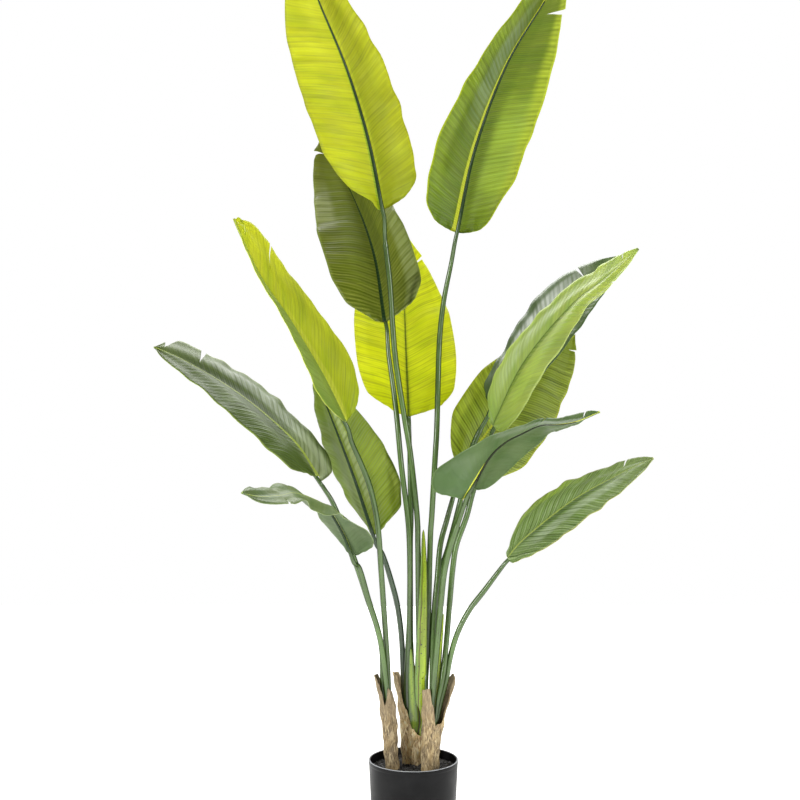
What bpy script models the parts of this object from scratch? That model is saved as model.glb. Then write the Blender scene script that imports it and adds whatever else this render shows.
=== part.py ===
"""An artificial traveller's palm in a plain black pot, for Blender 4.5.

Units are metres and +Z is up. The pot stands on z = 0 with its axis on the Z axis,
and the front of the plant looks along -Y. Run it in Blender's text editor or with
blender --background --python part.py
"""
import math

import bmesh
import bpy
from mathutils import Vector

GAP = 0.0003  # clearance between two separate pieces

# Pot: a tapered tub with a thin rounded rim, filled almost to the top.
POT_HEIGHT = 0.165
POT_RIM_RADIUS = 0.090
POT_FOOT_RADIUS = 0.082
POT_WALL = 0.003
POT_SIDES = 44
SOIL_TOP = 0.147
SOIL_LUMP = 0.0015

# Leaves: moulded blades with a wire rib glued under the midrib.
BLADE_THICKNESS = 0.0008
RIB_REACH = 0.86  # how far along the blade its wire runs
RIB_TIP_RADIUS = 0.0012
NECK_RADIUS = 0.0038
STEM_SIDES = 6
HOLE_DEPTH = 0.022  # how deep a stem stands in its trunk piece
STEM_STEPS = 14
NECK_LEAD = 0.02  # the stem lies along the midrib for this far before the blade starts
SHOOT_STEPS = 14
TRUNK_FOOT = 0.085  # the trunk pieces go this deep into the filling
TRUNK_SIDES = 24

# Fractions of the blade's length: where its half widths are given, and its rows.
STATIONS = (0.0, 0.03, 0.10, 0.25, 0.45, 0.65, 0.82, 0.94, 1.0)
ROWS = (0.0, 0.012, 0.035, 0.07, 0.12, 0.18, 0.25, 0.33, 0.41, 0.49,
        0.57, 0.65, 0.73, 0.80, 0.86, 0.91, 0.95, 0.98)
COLUMNS = (-1.0, -0.66, -0.33, 0.0, 0.33, 0.66, 1.0)
RIB_ROWS = tuple(s for s in ROWS if s <= RIB_REACH)
BASE_HALF_WIDTH = 0.004
VEIN_SWEEP = 0.05  # side veins lean towards the tip by this part of the length
CURL = math.radians(10)  # each half is steeper by this at the midrib, flatter at its edge
WAVE_HEIGHT = 0.004
SLIT_GAPE = 0.003  # half the opening of a slit at the blade's edge

GREEN_STEM = (0.09, 0.17, 0.08)
BRIGHT_SHOOT = (0.36, 0.52, 0.05)
BARK = (0.36, 0.27, 0.14)

# Trunk pieces: hollow bark tubes with torn, lobed tops. "rim" gives the height of
# the top edge for twelve directions, counted from +X towards +Y in steps of 30
# degrees, and "flare" how far the edge curls outwards there.
TRUNKS = {
    "trunk_left": {
        "foot": (-0.043, -0.010), "top": (-0.051, -0.011), "size": (0.0135, 0.0155),
        "floor": 0.232, "wall": 0.0022,
        "rim": (0.275, 0.268, 0.262, 0.270, 0.300, 0.332, 0.338, 0.300, 0.285,
                0.312, 0.311, 0.290),
        "flare": (0.001, 0.0, 0.0, 0.0, 0.003, 0.008, 0.010, 0.004, 0.001, 0.0, 0.0, 0.002),
    },
    "trunk_middle": {
        "foot": (-0.001, 0.030), "top": (-0.003, 0.030), "size": (0.0225, 0.0190),
        "floor": 0.186, "wall": 0.0022,
        "rim": (0.245, 0.262, 0.255, 0.262, 0.285, 0.318, 0.334, 0.326, 0.268,
                0.228, 0.212, 0.203),
        "flare": (0.0, 0.0, 0.0, 0.0, 0.002, 0.006, 0.012, 0.010, 0.002, 0.0, 0.0, 0.0),
    },
    "trunk_right": {
        "foot": (0.0316, -0.020), "top": (0.0400, -0.020), "size": (0.0175, 0.0200),
        "floor": 0.214, "wall": 0.0022,
        "rim": (0.300, 0.334, 0.264, 0.250, 0.250, 0.250, 0.262, 0.290, 0.318,
                0.306, 0.252, 0.240),
        "flare": (0.014, 0.026, 0.010, 0.0, 0.0, 0.0, 0.0, 0.0, 0.001, 0.0, 0.0, 0.003),
    },
}

# Leaves. "stem" runs from its foot in the trunk piece up to the neck, "rib" from the
# neck along the midrib to the tip, "left" and "right" are half widths at STATIONS as
# seen from the front, "turn" rotates the blade about its midrib and "fold" lifts both
# halves towards the upper side, each in degrees at even steps from the neck to the tip.
# "upper" says which way the upper side looks. A slit is a side, a place and its inner
# end. "heel" sets the left and right lobes of the base back past the neck.
LEAVES = {
    "top_left": {
        "trunk": "trunk_middle", "colour": (0.42, 0.50, 0.04), "upper": "back",
        "foot": (0.0055, 0.0265),
        "stem": ((0.0092, 0.020, 0.303), (0.0108, 0.014, 0.393),
                 (0.0101, 0.010, 0.486), (0.0090, 0.004, 0.595), (0.0070, 0.0, 0.658),
                 (-0.006, -0.008, 0.779), (-0.019, -0.014, 0.859), (-0.037, -0.022, 0.980),
                 (-0.047, -0.034, 1.121), (-0.056, -0.045, 1.201)),
        "rib": ((-0.062, -0.060, 1.263), (-0.089, -0.090, 1.396), (-0.129, -0.130, 1.525),
                (-0.181, -0.190, 1.646), (-0.216, -0.250, 1.746)),
        "left": (0.016, 0.061, 0.097, 0.103, 0.090, 0.056, 0.023),
        "right": (0.071, 0.103, 0.100, 0.092, 0.073, 0.050, 0.021),
        "turn": (9, 9), "fold": (29, 24), "waves": 7, "slits": (),
    },
    "top_right": {
        "trunk": "trunk_right", "colour": (0.24, 0.36, 0.03), "upper": "back",
        "foot": (0.0285, -0.0145),
        "stem": ((0.0280, -0.0125, 0.250), (0.0262, 0.0, 0.313), (0.0290, 0.009, 0.389),
                 (0.0335, 0.008, 0.595), (0.0370, 0.003, 0.658), (0.043, -0.008, 0.769),
                 (0.0464, -0.010, 0.829), (0.0486, -0.014, 0.918), (0.0515, -0.020, 1.008),
                 (0.0592, -0.028, 1.083), (0.0737, -0.038, 1.158)),
        "rib": ((0.085, -0.050, 1.219), (0.119, -0.080, 1.378), (0.176, -0.130, 1.531),
                (0.245, -0.190, 1.643), (0.281, -0.220, 1.706)),
        "left": (0.060, 0.085, 0.089, 0.073, 0.054, 0.042, 0.017),
        "right": (0.054, 0.075, 0.104, 0.106, 0.088, 0.050, 0.021),
        "turn": (-2, -4), "fold": (28, 24), "waves": 6,
        "slits": (("left", 0.90, 0.33), ("right", 0.86, 0.33)),
    },
    "centre_dark": {
        "trunk": "trunk_middle", "colour": (0.10, 0.14, 0.03), "upper": "front",
        "foot": (-0.0075, 0.0235),
        "stem": ((-0.0089, 0.022, 0.303), (-0.0079, 0.018, 0.384),
                 (-0.0073, 0.014, 0.465), (-0.0069, 0.010, 0.536), (-0.0080, 0.007, 0.600),
                 (-0.012, 0.005, 0.657), (-0.024, 0.0, 0.754), (-0.033, 0.0, 0.850),
                 (-0.040, 0.005, 0.908), (-0.050, 0.015, 0.980)),
        "rib": ((-0.057, 0.030, 1.044), (-0.081, 0.120, 1.186), (-0.128, 0.240, 1.316),
                (-0.202, 0.360, 1.459)),
        "left": (0.032, 0.076, 0.100, 0.103, 0.086, 0.058, 0.028),
        "right": (0.080, 0.101, 0.094, 0.080, 0.059, 0.034, 0.013),
        "turn": (-12, -12), "fold": (22, 20), "waves": 6, "spread": 0.0112,
        "slits": (("left", 0.90, 0.33),),
    },
    "centre_bright": {
        "trunk": "trunk_middle", "colour": (0.62, 0.62, 0.03), "upper": "front",
        "foot": (-0.003, 0.0400),
        "stem": ((-0.0047, 0.038, 0.299), (-0.0058, 0.036, 0.461),
                 (-0.0062, 0.034, 0.591), (-0.0048, 0.034, 0.654), (-0.0070, 0.040, 0.763)),
        "rib": ((-0.009, 0.060, 0.853), (-0.014, 0.170, 0.978), (-0.018, 0.280, 1.094),
                (-0.025, 0.420, 1.262)),
        "left": (0.038, 0.086, 0.106, 0.112, 0.100, 0.069, 0.029),
        "right": (0.073, 0.099, 0.107, 0.100, 0.073, 0.043, 0.015),
        "turn": (0, 0), "fold": (12, 12), "waves": 5,
        "slits": (("right", 0.76, 0.33),),
    },
    "left_bright": {
        "trunk": "trunk_left", "colour": (0.38, 0.46, 0.05), "upper": "front",
        "foot": (-0.0445, -0.0065),
        "stem": ((-0.0495, -0.006, 0.320), (-0.058, -0.020, 0.452),
                 (-0.0646, -0.035, 0.5535), (-0.0693, -0.050, 0.627), (-0.076, -0.065, 0.678),
                 (-0.087, -0.080, 0.726), (-0.102, -0.100, 0.768), (-0.119, -0.130, 0.8115)),
        "rib": ((-0.129, -0.160, 0.855), (-0.173, -0.190, 0.947), (-0.231, -0.225, 1.046),
                (-0.281, -0.255, 1.124), (-0.327, -0.290, 1.228)),
        "left": (0.020, 0.050, 0.075, 0.070, 0.045, 0.035, 0.016),
        "right": (0.042, 0.067, 0.086, 0.082, 0.077, 0.066, 0.037),
        "turn": (60, 74, 75), "fold": (12, 17, 17), "waves": 6,
        "slits": (("right", 0.86, 0.66),),
    },
    "left_low": {
        "trunk": "trunk_left", "colour": (0.15, 0.23, 0.08), "upper": "front",
        "foot": (-0.0535, -0.0115),
        "stem": ((-0.0562, -0.0105, 0.264), (-0.0615, -0.007, 0.310), (-0.063, -0.002, 0.380),
                 (-0.073, 0.0, 0.430), (-0.091, -0.001, 0.485), (-0.115, -0.010, 0.560),
                 (-0.155, -0.030, 0.673), (-0.177, -0.040, 0.714)),
        "rib": ((-0.190, -0.050, 0.741), (-0.240, -0.045, 0.812), (-0.341, -0.025, 0.897),
                (-0.452, 0.0, 0.963), (-0.522, 0.015, 0.994)),
        "left": (0.024, 0.075, 0.094, 0.092, 0.068, 0.050, 0.023),
        "right": (0.056, 0.066, 0.062, 0.077, 0.072, 0.064, 0.055),
        "turn": (60, 66, 65), "fold": (4, 2, 2), "waves": 6,
        "slits": (("right", 0.72, 0.33),), "heel": (0.0, 0.014),
    },
    "left_inner": {
        "trunk": "trunk_middle", "colour": (0.17, 0.25, 0.03), "upper": "back",
        "foot": (-0.0145, 0.034),
        "stem": ((-0.0203, 0.034, 0.328), (-0.024, 0.030, 0.406),
                 (-0.032, 0.025, 0.469), (-0.043, 0.020, 0.515), (-0.061, 0.010, 0.5745)),
        "rib": ((-0.079, 0.0, 0.616), (-0.115, -0.020, 0.727), (-0.152, -0.040, 0.829),
                (-0.195, -0.050, 0.938)),
        "left": (0.015, 0.035, 0.073, 0.085, 0.073, 0.052, 0.024),
        "right": (0.032, 0.079, 0.093, 0.085, 0.066, 0.042, 0.020),
        "turn": (-17, -17), "fold": (45, 42), "waves": 5, "slits": (),
    },
    "left_arching": {
        "trunk": "trunk_left", "colour": (0.18, 0.26, 0.13), "upper": "back",
        "foot": (-0.0465, -0.0175),
        "stem": ((-0.0535, -0.0185, 0.3125), (-0.0617, -0.024, 0.383),
                 (-0.0716, -0.030, 0.434), (-0.090, -0.042, 0.4955), (-0.106, -0.062, 0.558)),
        "rib": ((-0.1207, -0.090, 0.592), (-0.1350, -0.115, 0.634), (-0.1590, -0.155, 0.684),
                (-0.1783, -0.185, 0.704), (-0.2195, -0.250, 0.727), (-0.2449, -0.290, 0.727),
                (-0.2798, -0.330, 0.730), (-0.3075, -0.360, 0.740)),
        "left": (0.022, 0.036, 0.046, 0.046, 0.044, 0.036, 0.020),
        "right": (0.045, 0.052, 0.050, 0.046, 0.044, 0.034, 0.018),
        "turn": (-25, -50, -93, -108, -110), "fold": (30, 0, -10, 0, 5), "waves": 5,
        "slits": (("right", 0.73, 0.33),), "heel": (0.0, 0.008),
    },
    "right_front": {
        "trunk": "trunk_right", "colour": (0.28, 0.40, 0.10), "upper": "front",
        "foot": (0.0400, -0.0270),
        "stem": ((0.0475, -0.0265, 0.280), (0.0563, -0.024, 0.325), (0.0645, -0.018, 0.392),
                 (0.0730, -0.014, 0.492), (0.0785, -0.014, 0.552), (0.0860, -0.014, 0.599),
                 (0.106, -0.014, 0.656), (0.120, -0.016, 0.710), (0.152, -0.024, 0.810)),
        "rib": ((0.158, -0.030, 0.838), (0.215, -0.070, 0.963), (0.302, -0.110, 1.074),
                (0.356, -0.150, 1.121), (0.399, -0.185, 1.168)),
        "left": (0.033, 0.060, 0.066, 0.066, 0.066, 0.056, 0.026),
        "right": (0.050, 0.067, 0.085, 0.088, 0.066, 0.030, 0.012),
        "turn": (-61, -61), "fold": (4, 3), "waves": 6,
        "slits": (("left", 0.90, 0.33), ("right", 0.80, 0.66)),
    },
    "right_behind": {
        "trunk": "trunk_right", "colour": (0.12, 0.18, 0.10), "upper": "front",
        "foot": (0.0425, -0.0115),
        "stem": ((0.0435, -0.0085, 0.262), (0.0455, 0.010, 0.330), (0.0460, 0.020, 0.440),
                 (0.0520, 0.028, 0.525), (0.0720, 0.034, 0.591), (0.096, 0.038, 0.683),
                 (0.120, 0.045, 0.789), (0.152, 0.050, 0.853)),
        "rib": ((0.162, 0.055, 0.877), (0.219, 0.080, 0.963), (0.304, 0.110, 1.057),
                (0.372, 0.135, 1.124), (0.445, 0.160, 1.197)),
        "left": (0.030, 0.060, 0.075, 0.080, 0.070, 0.050, 0.022),
        "right": (0.040, 0.075, 0.085, 0.080, 0.065, 0.045, 0.020),
        "turn": (-52, -52), "fold": (4, 4), "waves": 5,
        "slits": (("left", 0.80, 0.33),),
    },
    "right_broad": {
        "trunk": "trunk_right", "colour": (0.20, 0.26, 0.03), "upper": "front",
        "foot": (0.0350, -0.0085),
        "stem": ((0.0355, -0.0080, 0.256), (0.0375, 0.000, 0.320), (0.0410, 0.008, 0.446),
                 (0.0480, 0.012, 0.526), (0.0545, 0.018, 0.594), (0.0680, 0.025, 0.645),
                 (0.0820, 0.035, 0.694)),
        "rib": ((0.0990, 0.060, 0.734), (0.133, 0.085, 0.790), (0.180, 0.120, 0.850),
                (0.248, 0.170, 0.927), (0.351, 0.240, 1.018)),
        "left": (0.020, 0.050, 0.085, 0.090, 0.072, 0.046, 0.020),
        "right": (0.040, 0.080, 0.105, 0.105, 0.086, 0.060, 0.024),
        "turn": (0, 0), "fold": (4, 8), "waves": 6,
        "slits": (("right", 0.90, 0.33),),
    },
    "right_drooping": {
        "trunk": "trunk_right", "colour": (0.16, 0.24, 0.12), "upper": "back",
        "foot": (0.0315, -0.0250),
        "stem": ((0.0405, -0.0300, 0.326), (0.0525, -0.034, 0.464),
                 (0.0610, -0.040, 0.548), (0.0728, -0.048, 0.601), (0.0915, -0.064, 0.662)),
        "rib": ((0.1136, -0.080, 0.719), (0.1455, -0.112, 0.780), (0.1736, -0.135, 0.811),
                (0.2054, -0.160, 0.831), (0.2380, -0.185, 0.848), (0.2716, -0.205, 0.851),
                (0.3031, -0.230, 0.859), (0.3397, -0.250, 0.877)),
        "left": (0.082, 0.071, 0.050, 0.038, 0.032, 0.030, 0.016),
        "right": (0.026, 0.040, 0.058, 0.062, 0.052, 0.036, 0.016),
        "turn": (1, -15, -10, 5, 15), "fold": (11, 45, 65, 73, 75), "waves": 4,
        "slits": (("left", 0.57, 0.33), ("left", 0.86, 0.33)), "heel": (0.034, 0.0),
    },
    "right_low": {
        "trunk": "trunk_right", "colour": (0.13, 0.20, 0.05), "upper": "front",
        "foot": (0.0450, -0.0195),
        "stem": ((0.0480, -0.0175, 0.250), (0.0562, -0.0145, 0.293), (0.0657, -0.012, 0.330),
                 (0.0746, -0.012, 0.377),
                 (0.0884, -0.015, 0.423), (0.111, -0.018, 0.468), (0.142, -0.022, 0.510)),
        "rib": ((0.187, -0.030, 0.575), (0.223, -0.050, 0.619), (0.309, -0.090, 0.696),
                (0.392, -0.130, 0.750), (0.454, -0.160, 0.785)),
        "left": (0.017, 0.036, 0.063, 0.058, 0.041, 0.030, 0.017),
        "right": (0.026, 0.042, 0.066, 0.074, 0.068, 0.048, 0.025),
        "turn": (-60, -60), "fold": (3, 3), "waves": 6,
        "slits": (("left", 0.80, 0.33),),
    },
}

# Stem radius by the part of its length: slim in its hole, stout, then slim at the neck.
GIRTH_PLACES = (0.0, 0.10, 0.25, 0.75, 1.0)
GIRTH_RADII = (0.0032, 0.0036, 0.0055, 0.0054, NECK_RADIUS)

# Young shoots and split sheaths between the stems: flat pointed pieces. Each has its
# foot in a trunk piece, its way up, and half its greatest width and thickness.
SHOOTS = {
    "shoot_tall": {
        "trunk": "trunk_middle", "foot": (0.0125, 0.0240), "colour": BRIGHT_SHOOT,
        "path": ((0.0130, 0.0205, 0.232), (0.0155, 0.008, 0.290), (0.0180, -0.003, 0.386),
                 (0.0205, -0.006, 0.467), (0.0208, -0.006, 0.548), (0.0198, -0.004, 0.628)),
        "size": (0.0054, 0.0022),
    },
    "sheath_middle": {
        "trunk": "trunk_middle", "foot": (0.0, 0.0205), "colour": BRIGHT_SHOOT,
        "path": ((0.0020, 0.0175, 0.222), (0.0030, 0.0110, 0.255), (0.0010, 0.0080, 0.325),
                 (-0.0015, 0.0075, 0.381)),
        "size": (0.0048, 0.0018),
    },
    "sheath_right": {
        "trunk": "trunk_right", "foot": (0.0365, -0.0190), "colour": BRIGHT_SHOOT,
        "path": ((0.0395, -0.0180, 0.250), (0.0440, -0.0165, 0.300), (0.0500, -0.0155, 0.350),
                 (0.0545, -0.0150, 0.400), (0.0600, -0.0150, 0.462)),
        "size": (0.0034, 0.0016),
    },
}


def spline(points, steps=12):
    """A smooth line of points through the given ones."""
    knots = [Vector(p) for p in points]
    knots = [2 * knots[0] - knots[1]] + knots + [2 * knots[-1] - knots[-2]]
    line = []
    for a, b, c, d in zip(knots, knots[1:], knots[2:], knots[3:]):
        for step in range(steps):
            t = step / steps
            line.append(0.5 * (2 * b + (c - a) * t + (2 * a - 5 * b + 4 * c - d) * t ** 2
                               + (3 * b - 3 * c + d - a) * t ** 3))
    line.append(knots[-2])
    return line


def lengths_along(line):
    """How far each point of a line is from its start."""
    total = [0.0]
    for a, b in zip(line, line[1:]):
        total.append(total[-1] + (b - a).length)
    return total


def place_on(line, lengths, fraction):
    """The point and the direction at a fraction of a line's length."""
    wanted = min(max(fraction, 0.0), 1.0) * lengths[-1]
    i = 1
    while i < len(line) - 1 and lengths[i] < wanted:
        i += 1
    a, b = line[i - 1], line[i]
    t = (wanted - lengths[i - 1]) / (lengths[i] - lengths[i - 1])
    before = line[max(i - 2, 0)]
    after = line[min(i + 1, len(line) - 1)]
    return a.lerp(b, t), (after - before).normalized()


def smooth_value(places, values, at):
    """A value between given ones, eased so that it never overshoots them."""
    i = 1
    while i < len(places) - 1 and places[i] < at:
        i += 1
    span = places[i] - places[i - 1]
    t = (at - places[i - 1]) / span

    def slope(k):
        if k == 0 or k == len(places) - 1:
            j = min(k, len(places) - 2)
            return (values[j + 1] - values[j]) / (places[j + 1] - places[j])
        before = (values[k] - values[k - 1]) / (places[k] - places[k - 1])
        after = (values[k + 1] - values[k]) / (places[k + 1] - places[k])
        if before * after <= 0:
            return 0.0
        return 2 * before * after / (before + after)

    rise = values[i] - values[i - 1]
    m0 = slope(i - 1) * span
    m1 = slope(i) * span
    return (values[i - 1] + m0 * t + (3 * rise - 2 * m0 - m1) * t ** 2
            + (m0 + m1 - 2 * rise) * t ** 3)


def ramp(low, high, value):
    """0 below low, 1 above high, eased in between."""
    t = min(max((value - low) / (high - low), 0.0), 1.0)
    return t * t * (3 - 2 * t)


def principled(name, colour, roughness, metallic=0.0):
    material = bpy.data.materials.new(name)
    material.use_nodes = True
    shader = material.node_tree.nodes["Principled BSDF"]
    shader.inputs["Base Color"].default_value = (*colour, 1.0)
    shader.inputs["Roughness"].default_value = roughness
    shader.inputs["Metallic"].default_value = metallic
    return material


def new_object(name, verts, faces, material):
    """An object from vertices and faces, with its faces turned outwards."""
    mesh = bpy.data.meshes.new(name)
    bm = bmesh.new()
    made = [bm.verts.new(v) for v in verts]
    for face in faces:
        bm.faces.new([made[i] for i in face])
    bmesh.ops.recalc_face_normals(bm, faces=bm.faces)
    bm.to_mesh(mesh)
    bm.free()
    mesh.materials.append(material)
    obj = bpy.data.objects.new(name, mesh)
    bpy.context.collection.objects.link(obj)
    return obj


def cut(obj, cutter):
    """Take a hidden cutter's volume out of an object."""
    cutter.hide_render = True
    cutter.display_type = "WIRE"
    modifier = obj.modifiers.new("cut_" + cutter.name, "BOOLEAN")
    modifier.operation = "DIFFERENCE"
    modifier.solver = "EXACT"
    modifier.object = cutter


def ring_faces(first, second, count):
    """Quads between two rings of vertices that start at the given indices."""
    faces = []
    for i in range(count):
        j = (i + 1) % count
        faces.append((first + i, first + j, second + j, second + i))
    return faces


def prism(name, centre, size, low, high, sides, material):
    """An upright elliptical prism."""
    verts = []
    for z in (low, high):
        for i in range(sides):
            angle = 2 * math.pi * i / sides
            verts.append((centre[0] + size[0] * math.cos(angle),
                          centre[1] + size[1] * math.sin(angle), z))
    faces = ring_faces(0, sides, sides)
    faces.append(tuple(range(sides)))
    faces.append(tuple(range(2 * sides - 1, sides - 1, -1)))
    return new_object(name, verts, faces, material)


def make_pot():
    """The tub, as one profile turned round the Z axis."""
    slope = (POT_RIM_RADIUS - POT_FOOT_RADIUS) / POT_HEIGHT
    edge = 0.0012
    inner_foot = POT_FOOT_RADIUS - POT_WALL + slope * POT_WALL
    profile = (
        (POT_FOOT_RADIUS - edge, 0.0),
        (POT_FOOT_RADIUS, edge),
        (POT_RIM_RADIUS, POT_HEIGHT - edge),
        (POT_RIM_RADIUS - 0.4 * edge, POT_HEIGHT - 0.3 * edge),
        (POT_RIM_RADIUS - edge, POT_HEIGHT),
        (POT_RIM_RADIUS - POT_WALL + edge, POT_HEIGHT),
        (POT_RIM_RADIUS - POT_WALL, POT_HEIGHT - edge),
        (inner_foot, POT_WALL),
    )
    verts = []
    faces = []
    for radius, z in profile:
        for i in range(POT_SIDES):
            angle = 2 * math.pi * i / POT_SIDES
            verts.append((radius * math.cos(angle), radius * math.sin(angle), z))
    for ring in range(len(profile) - 1):
        faces += ring_faces(ring * POT_SIDES, (ring + 1) * POT_SIDES, POT_SIDES)
    last = (len(profile) - 1) * POT_SIDES
    faces.append(tuple(range(POT_SIDES)))
    faces.append(tuple(range(last, last + POT_SIDES)))
    new_object("pot", verts, faces, principled("pot_plastic", (0.022, 0.022, 0.024), 0.42))


def soil_height(x, y):
    """The lumpy top of the filling."""
    waves = math.sin(190 * x + 1.3) * math.cos(170 * y) + math.sin(260 * (x + y) + 0.7)
    return SOIL_TOP + SOIL_LUMP * waves


def make_soil():
    """The filling, one solid down to the pot's floor, with a hole for each trunk piece."""
    slope = (POT_RIM_RADIUS - POT_FOOT_RADIUS) / POT_HEIGHT
    sides = 32
    low = POT_WALL + GAP
    foot = POT_FOOT_RADIUS - POT_WALL + slope * low - 2 * GAP
    rim = POT_RIM_RADIUS - POT_WALL - slope * (POT_HEIGHT - SOIL_TOP) - 2 * GAP
    verts = []
    rings = [(foot, False), (rim, True)] + [(rim * part, True) for part in (0.85, 0.66, 0.45, 0.22)]
    for radius, top in rings:
        for i in range(sides):
            angle = 2 * math.pi * i / sides
            x, y = radius * math.cos(angle), radius * math.sin(angle)
            flat = top and radius < rim
            verts.append((x, y, soil_height(x, y) if flat else (SOIL_TOP if top else low)))
    verts.append((0.0, 0.0, soil_height(0.0, 0.0)))
    faces = [tuple(range(sides))]
    for ring in range(len(rings) - 1):
        faces += ring_faces(ring * sides, (ring + 1) * sides, sides)
    last = (len(rings) - 1) * sides
    for i in range(sides):
        faces.append((last + i, last + (i + 1) % sides, len(verts) - 1))
    soil = new_object("soil", verts, faces, principled("soil_black", (0.010, 0.009, 0.008), 0.95))
    for name, trunk in TRUNKS.items():
        size = (trunk["size"][0] + GAP, trunk["size"][1] + GAP)
        hole = prism(name + "_hole", trunk["foot"], size, TRUNK_FOOT - GAP, POT_HEIGHT,
                     TRUNK_SIDES, soil.data.materials[0])
        cut(soil, hole)


def trunk_edge(values, angle):
    """A value between the twelve given round a trunk piece's edge."""
    step = angle / (2 * math.pi) * len(values)
    i = int(step) % len(values)
    t = ramp(0.0, 1.0, step - int(step))
    return values[i] * (1 - t) + values[(i + 1) % len(values)] * t


def trunk_point(trunk, angle, z, inward):
    """A point of a trunk piece's wall, a given depth in from its outside."""
    climb = (z - SOIL_TOP) / (0.32 - SOIL_TOP)
    lean = max(climb, 0.0)
    cx = trunk["foot"][0] + (trunk["top"][0] - trunk["foot"][0]) * lean
    cy = trunk["foot"][1] + (trunk["top"][1] - trunk["foot"][1]) * lean
    rim = trunk_edge(trunk["rim"], angle)
    part = max((z - SOIL_TOP) / (rim - SOIL_TOP), 0.0)
    bark = 0.0
    if z > SOIL_TOP + 0.004:
        bark = 0.0007 * math.sin(5 * angle + 90 * z) + 0.0006 * math.sin(3 * angle - 150 * z)
    out = trunk_edge(trunk["flare"], angle) * part ** 3 + bark - inward
    return Vector((cx + (trunk["size"][0] + out) * math.cos(angle),
                   cy + (trunk["size"][1] + out) * math.sin(angle), z))


def make_trunk(name, trunk):
    """A bark tube: solid below its floor, hollow above it, with a lobed top edge."""
    angles = [2 * math.pi * i / TRUNK_SIDES for i in range(TRUNK_SIDES)]
    start = SOIL_TOP + 0.004
    verts = [trunk_point(trunk, a, TRUNK_FOOT, 0.0) for a in angles]
    verts += [trunk_point(trunk, a, start, 0.0) for a in angles]
    for part in (0.2, 0.4, 0.6, 0.8, 0.93, 1.0):
        for a in angles:
            rim = trunk_edge(trunk["rim"], a)
            verts.append(trunk_point(trunk, a, start + (rim - start) * part, 0.0))
    for part in (1.0, 0.7, 0.35, 0.0):
        for a in angles:
            rim = trunk_edge(trunk["rim"], a)
            z = trunk["floor"] + (rim - trunk["floor"]) * part
            verts.append(trunk_point(trunk, a, z, trunk["wall"]))
    faces = [tuple(range(TRUNK_SIDES))]
    rings = len(verts) // TRUNK_SIDES
    for ring in range(rings - 1):
        faces += ring_faces(ring * TRUNK_SIDES, (ring + 1) * TRUNK_SIDES, TRUNK_SIDES)
    faces.append(tuple(range((rings - 1) * TRUNK_SIDES, rings * TRUNK_SIDES)))
    bark = principled(name + "_bark", BARK, 0.8)
    body = new_object(name, verts, faces, bark)
    standing = [(key, item) for key, item in list(LEAVES.items()) + list(SHOOTS.items())
                if item["trunk"] == name]
    for key, item in standing:
        radius = (GIRTH_RADII[0] + GAP) / math.cos(math.pi / STEM_SIDES)
        hole = prism(key + "_hole", item["foot"], (radius, radius),
                     trunk["floor"] - HOLE_DEPTH, trunk["floor"] + 0.01, 2 * STEM_SIDES, bark)
        cut(body, hole)


def side_and_back(direction):
    """Across a line to the viewer's right, and away from the viewer."""
    across = Vector((0.0, 1.0, 0.0)).cross(direction).normalized()
    return across, direction.cross(across)


def tube(name, line, girths, sides, material):
    """A closed tube along a line; girths gives its half width and half depth at each point."""
    verts = []
    for i, point in enumerate(line):
        direction = (line[min(i + 1, len(line) - 1)] - line[max(i - 1, 0)]).normalized()
        across, back = side_and_back(direction)
        width, depth = girths[i]
        for k in range(sides):
            angle = 2 * math.pi * k / sides
            verts.append(point + across * (width * math.cos(angle))
                         + back * (depth * math.sin(angle)))
    faces = [tuple(range(sides))]
    for i in range(len(line) - 1):
        faces += ring_faces(i * sides, (i + 1) * sides, sides)
    faces.append(tuple(range((len(line) - 1) * sides, len(line) * sides)))
    return new_object(name, verts, faces, material)


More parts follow.
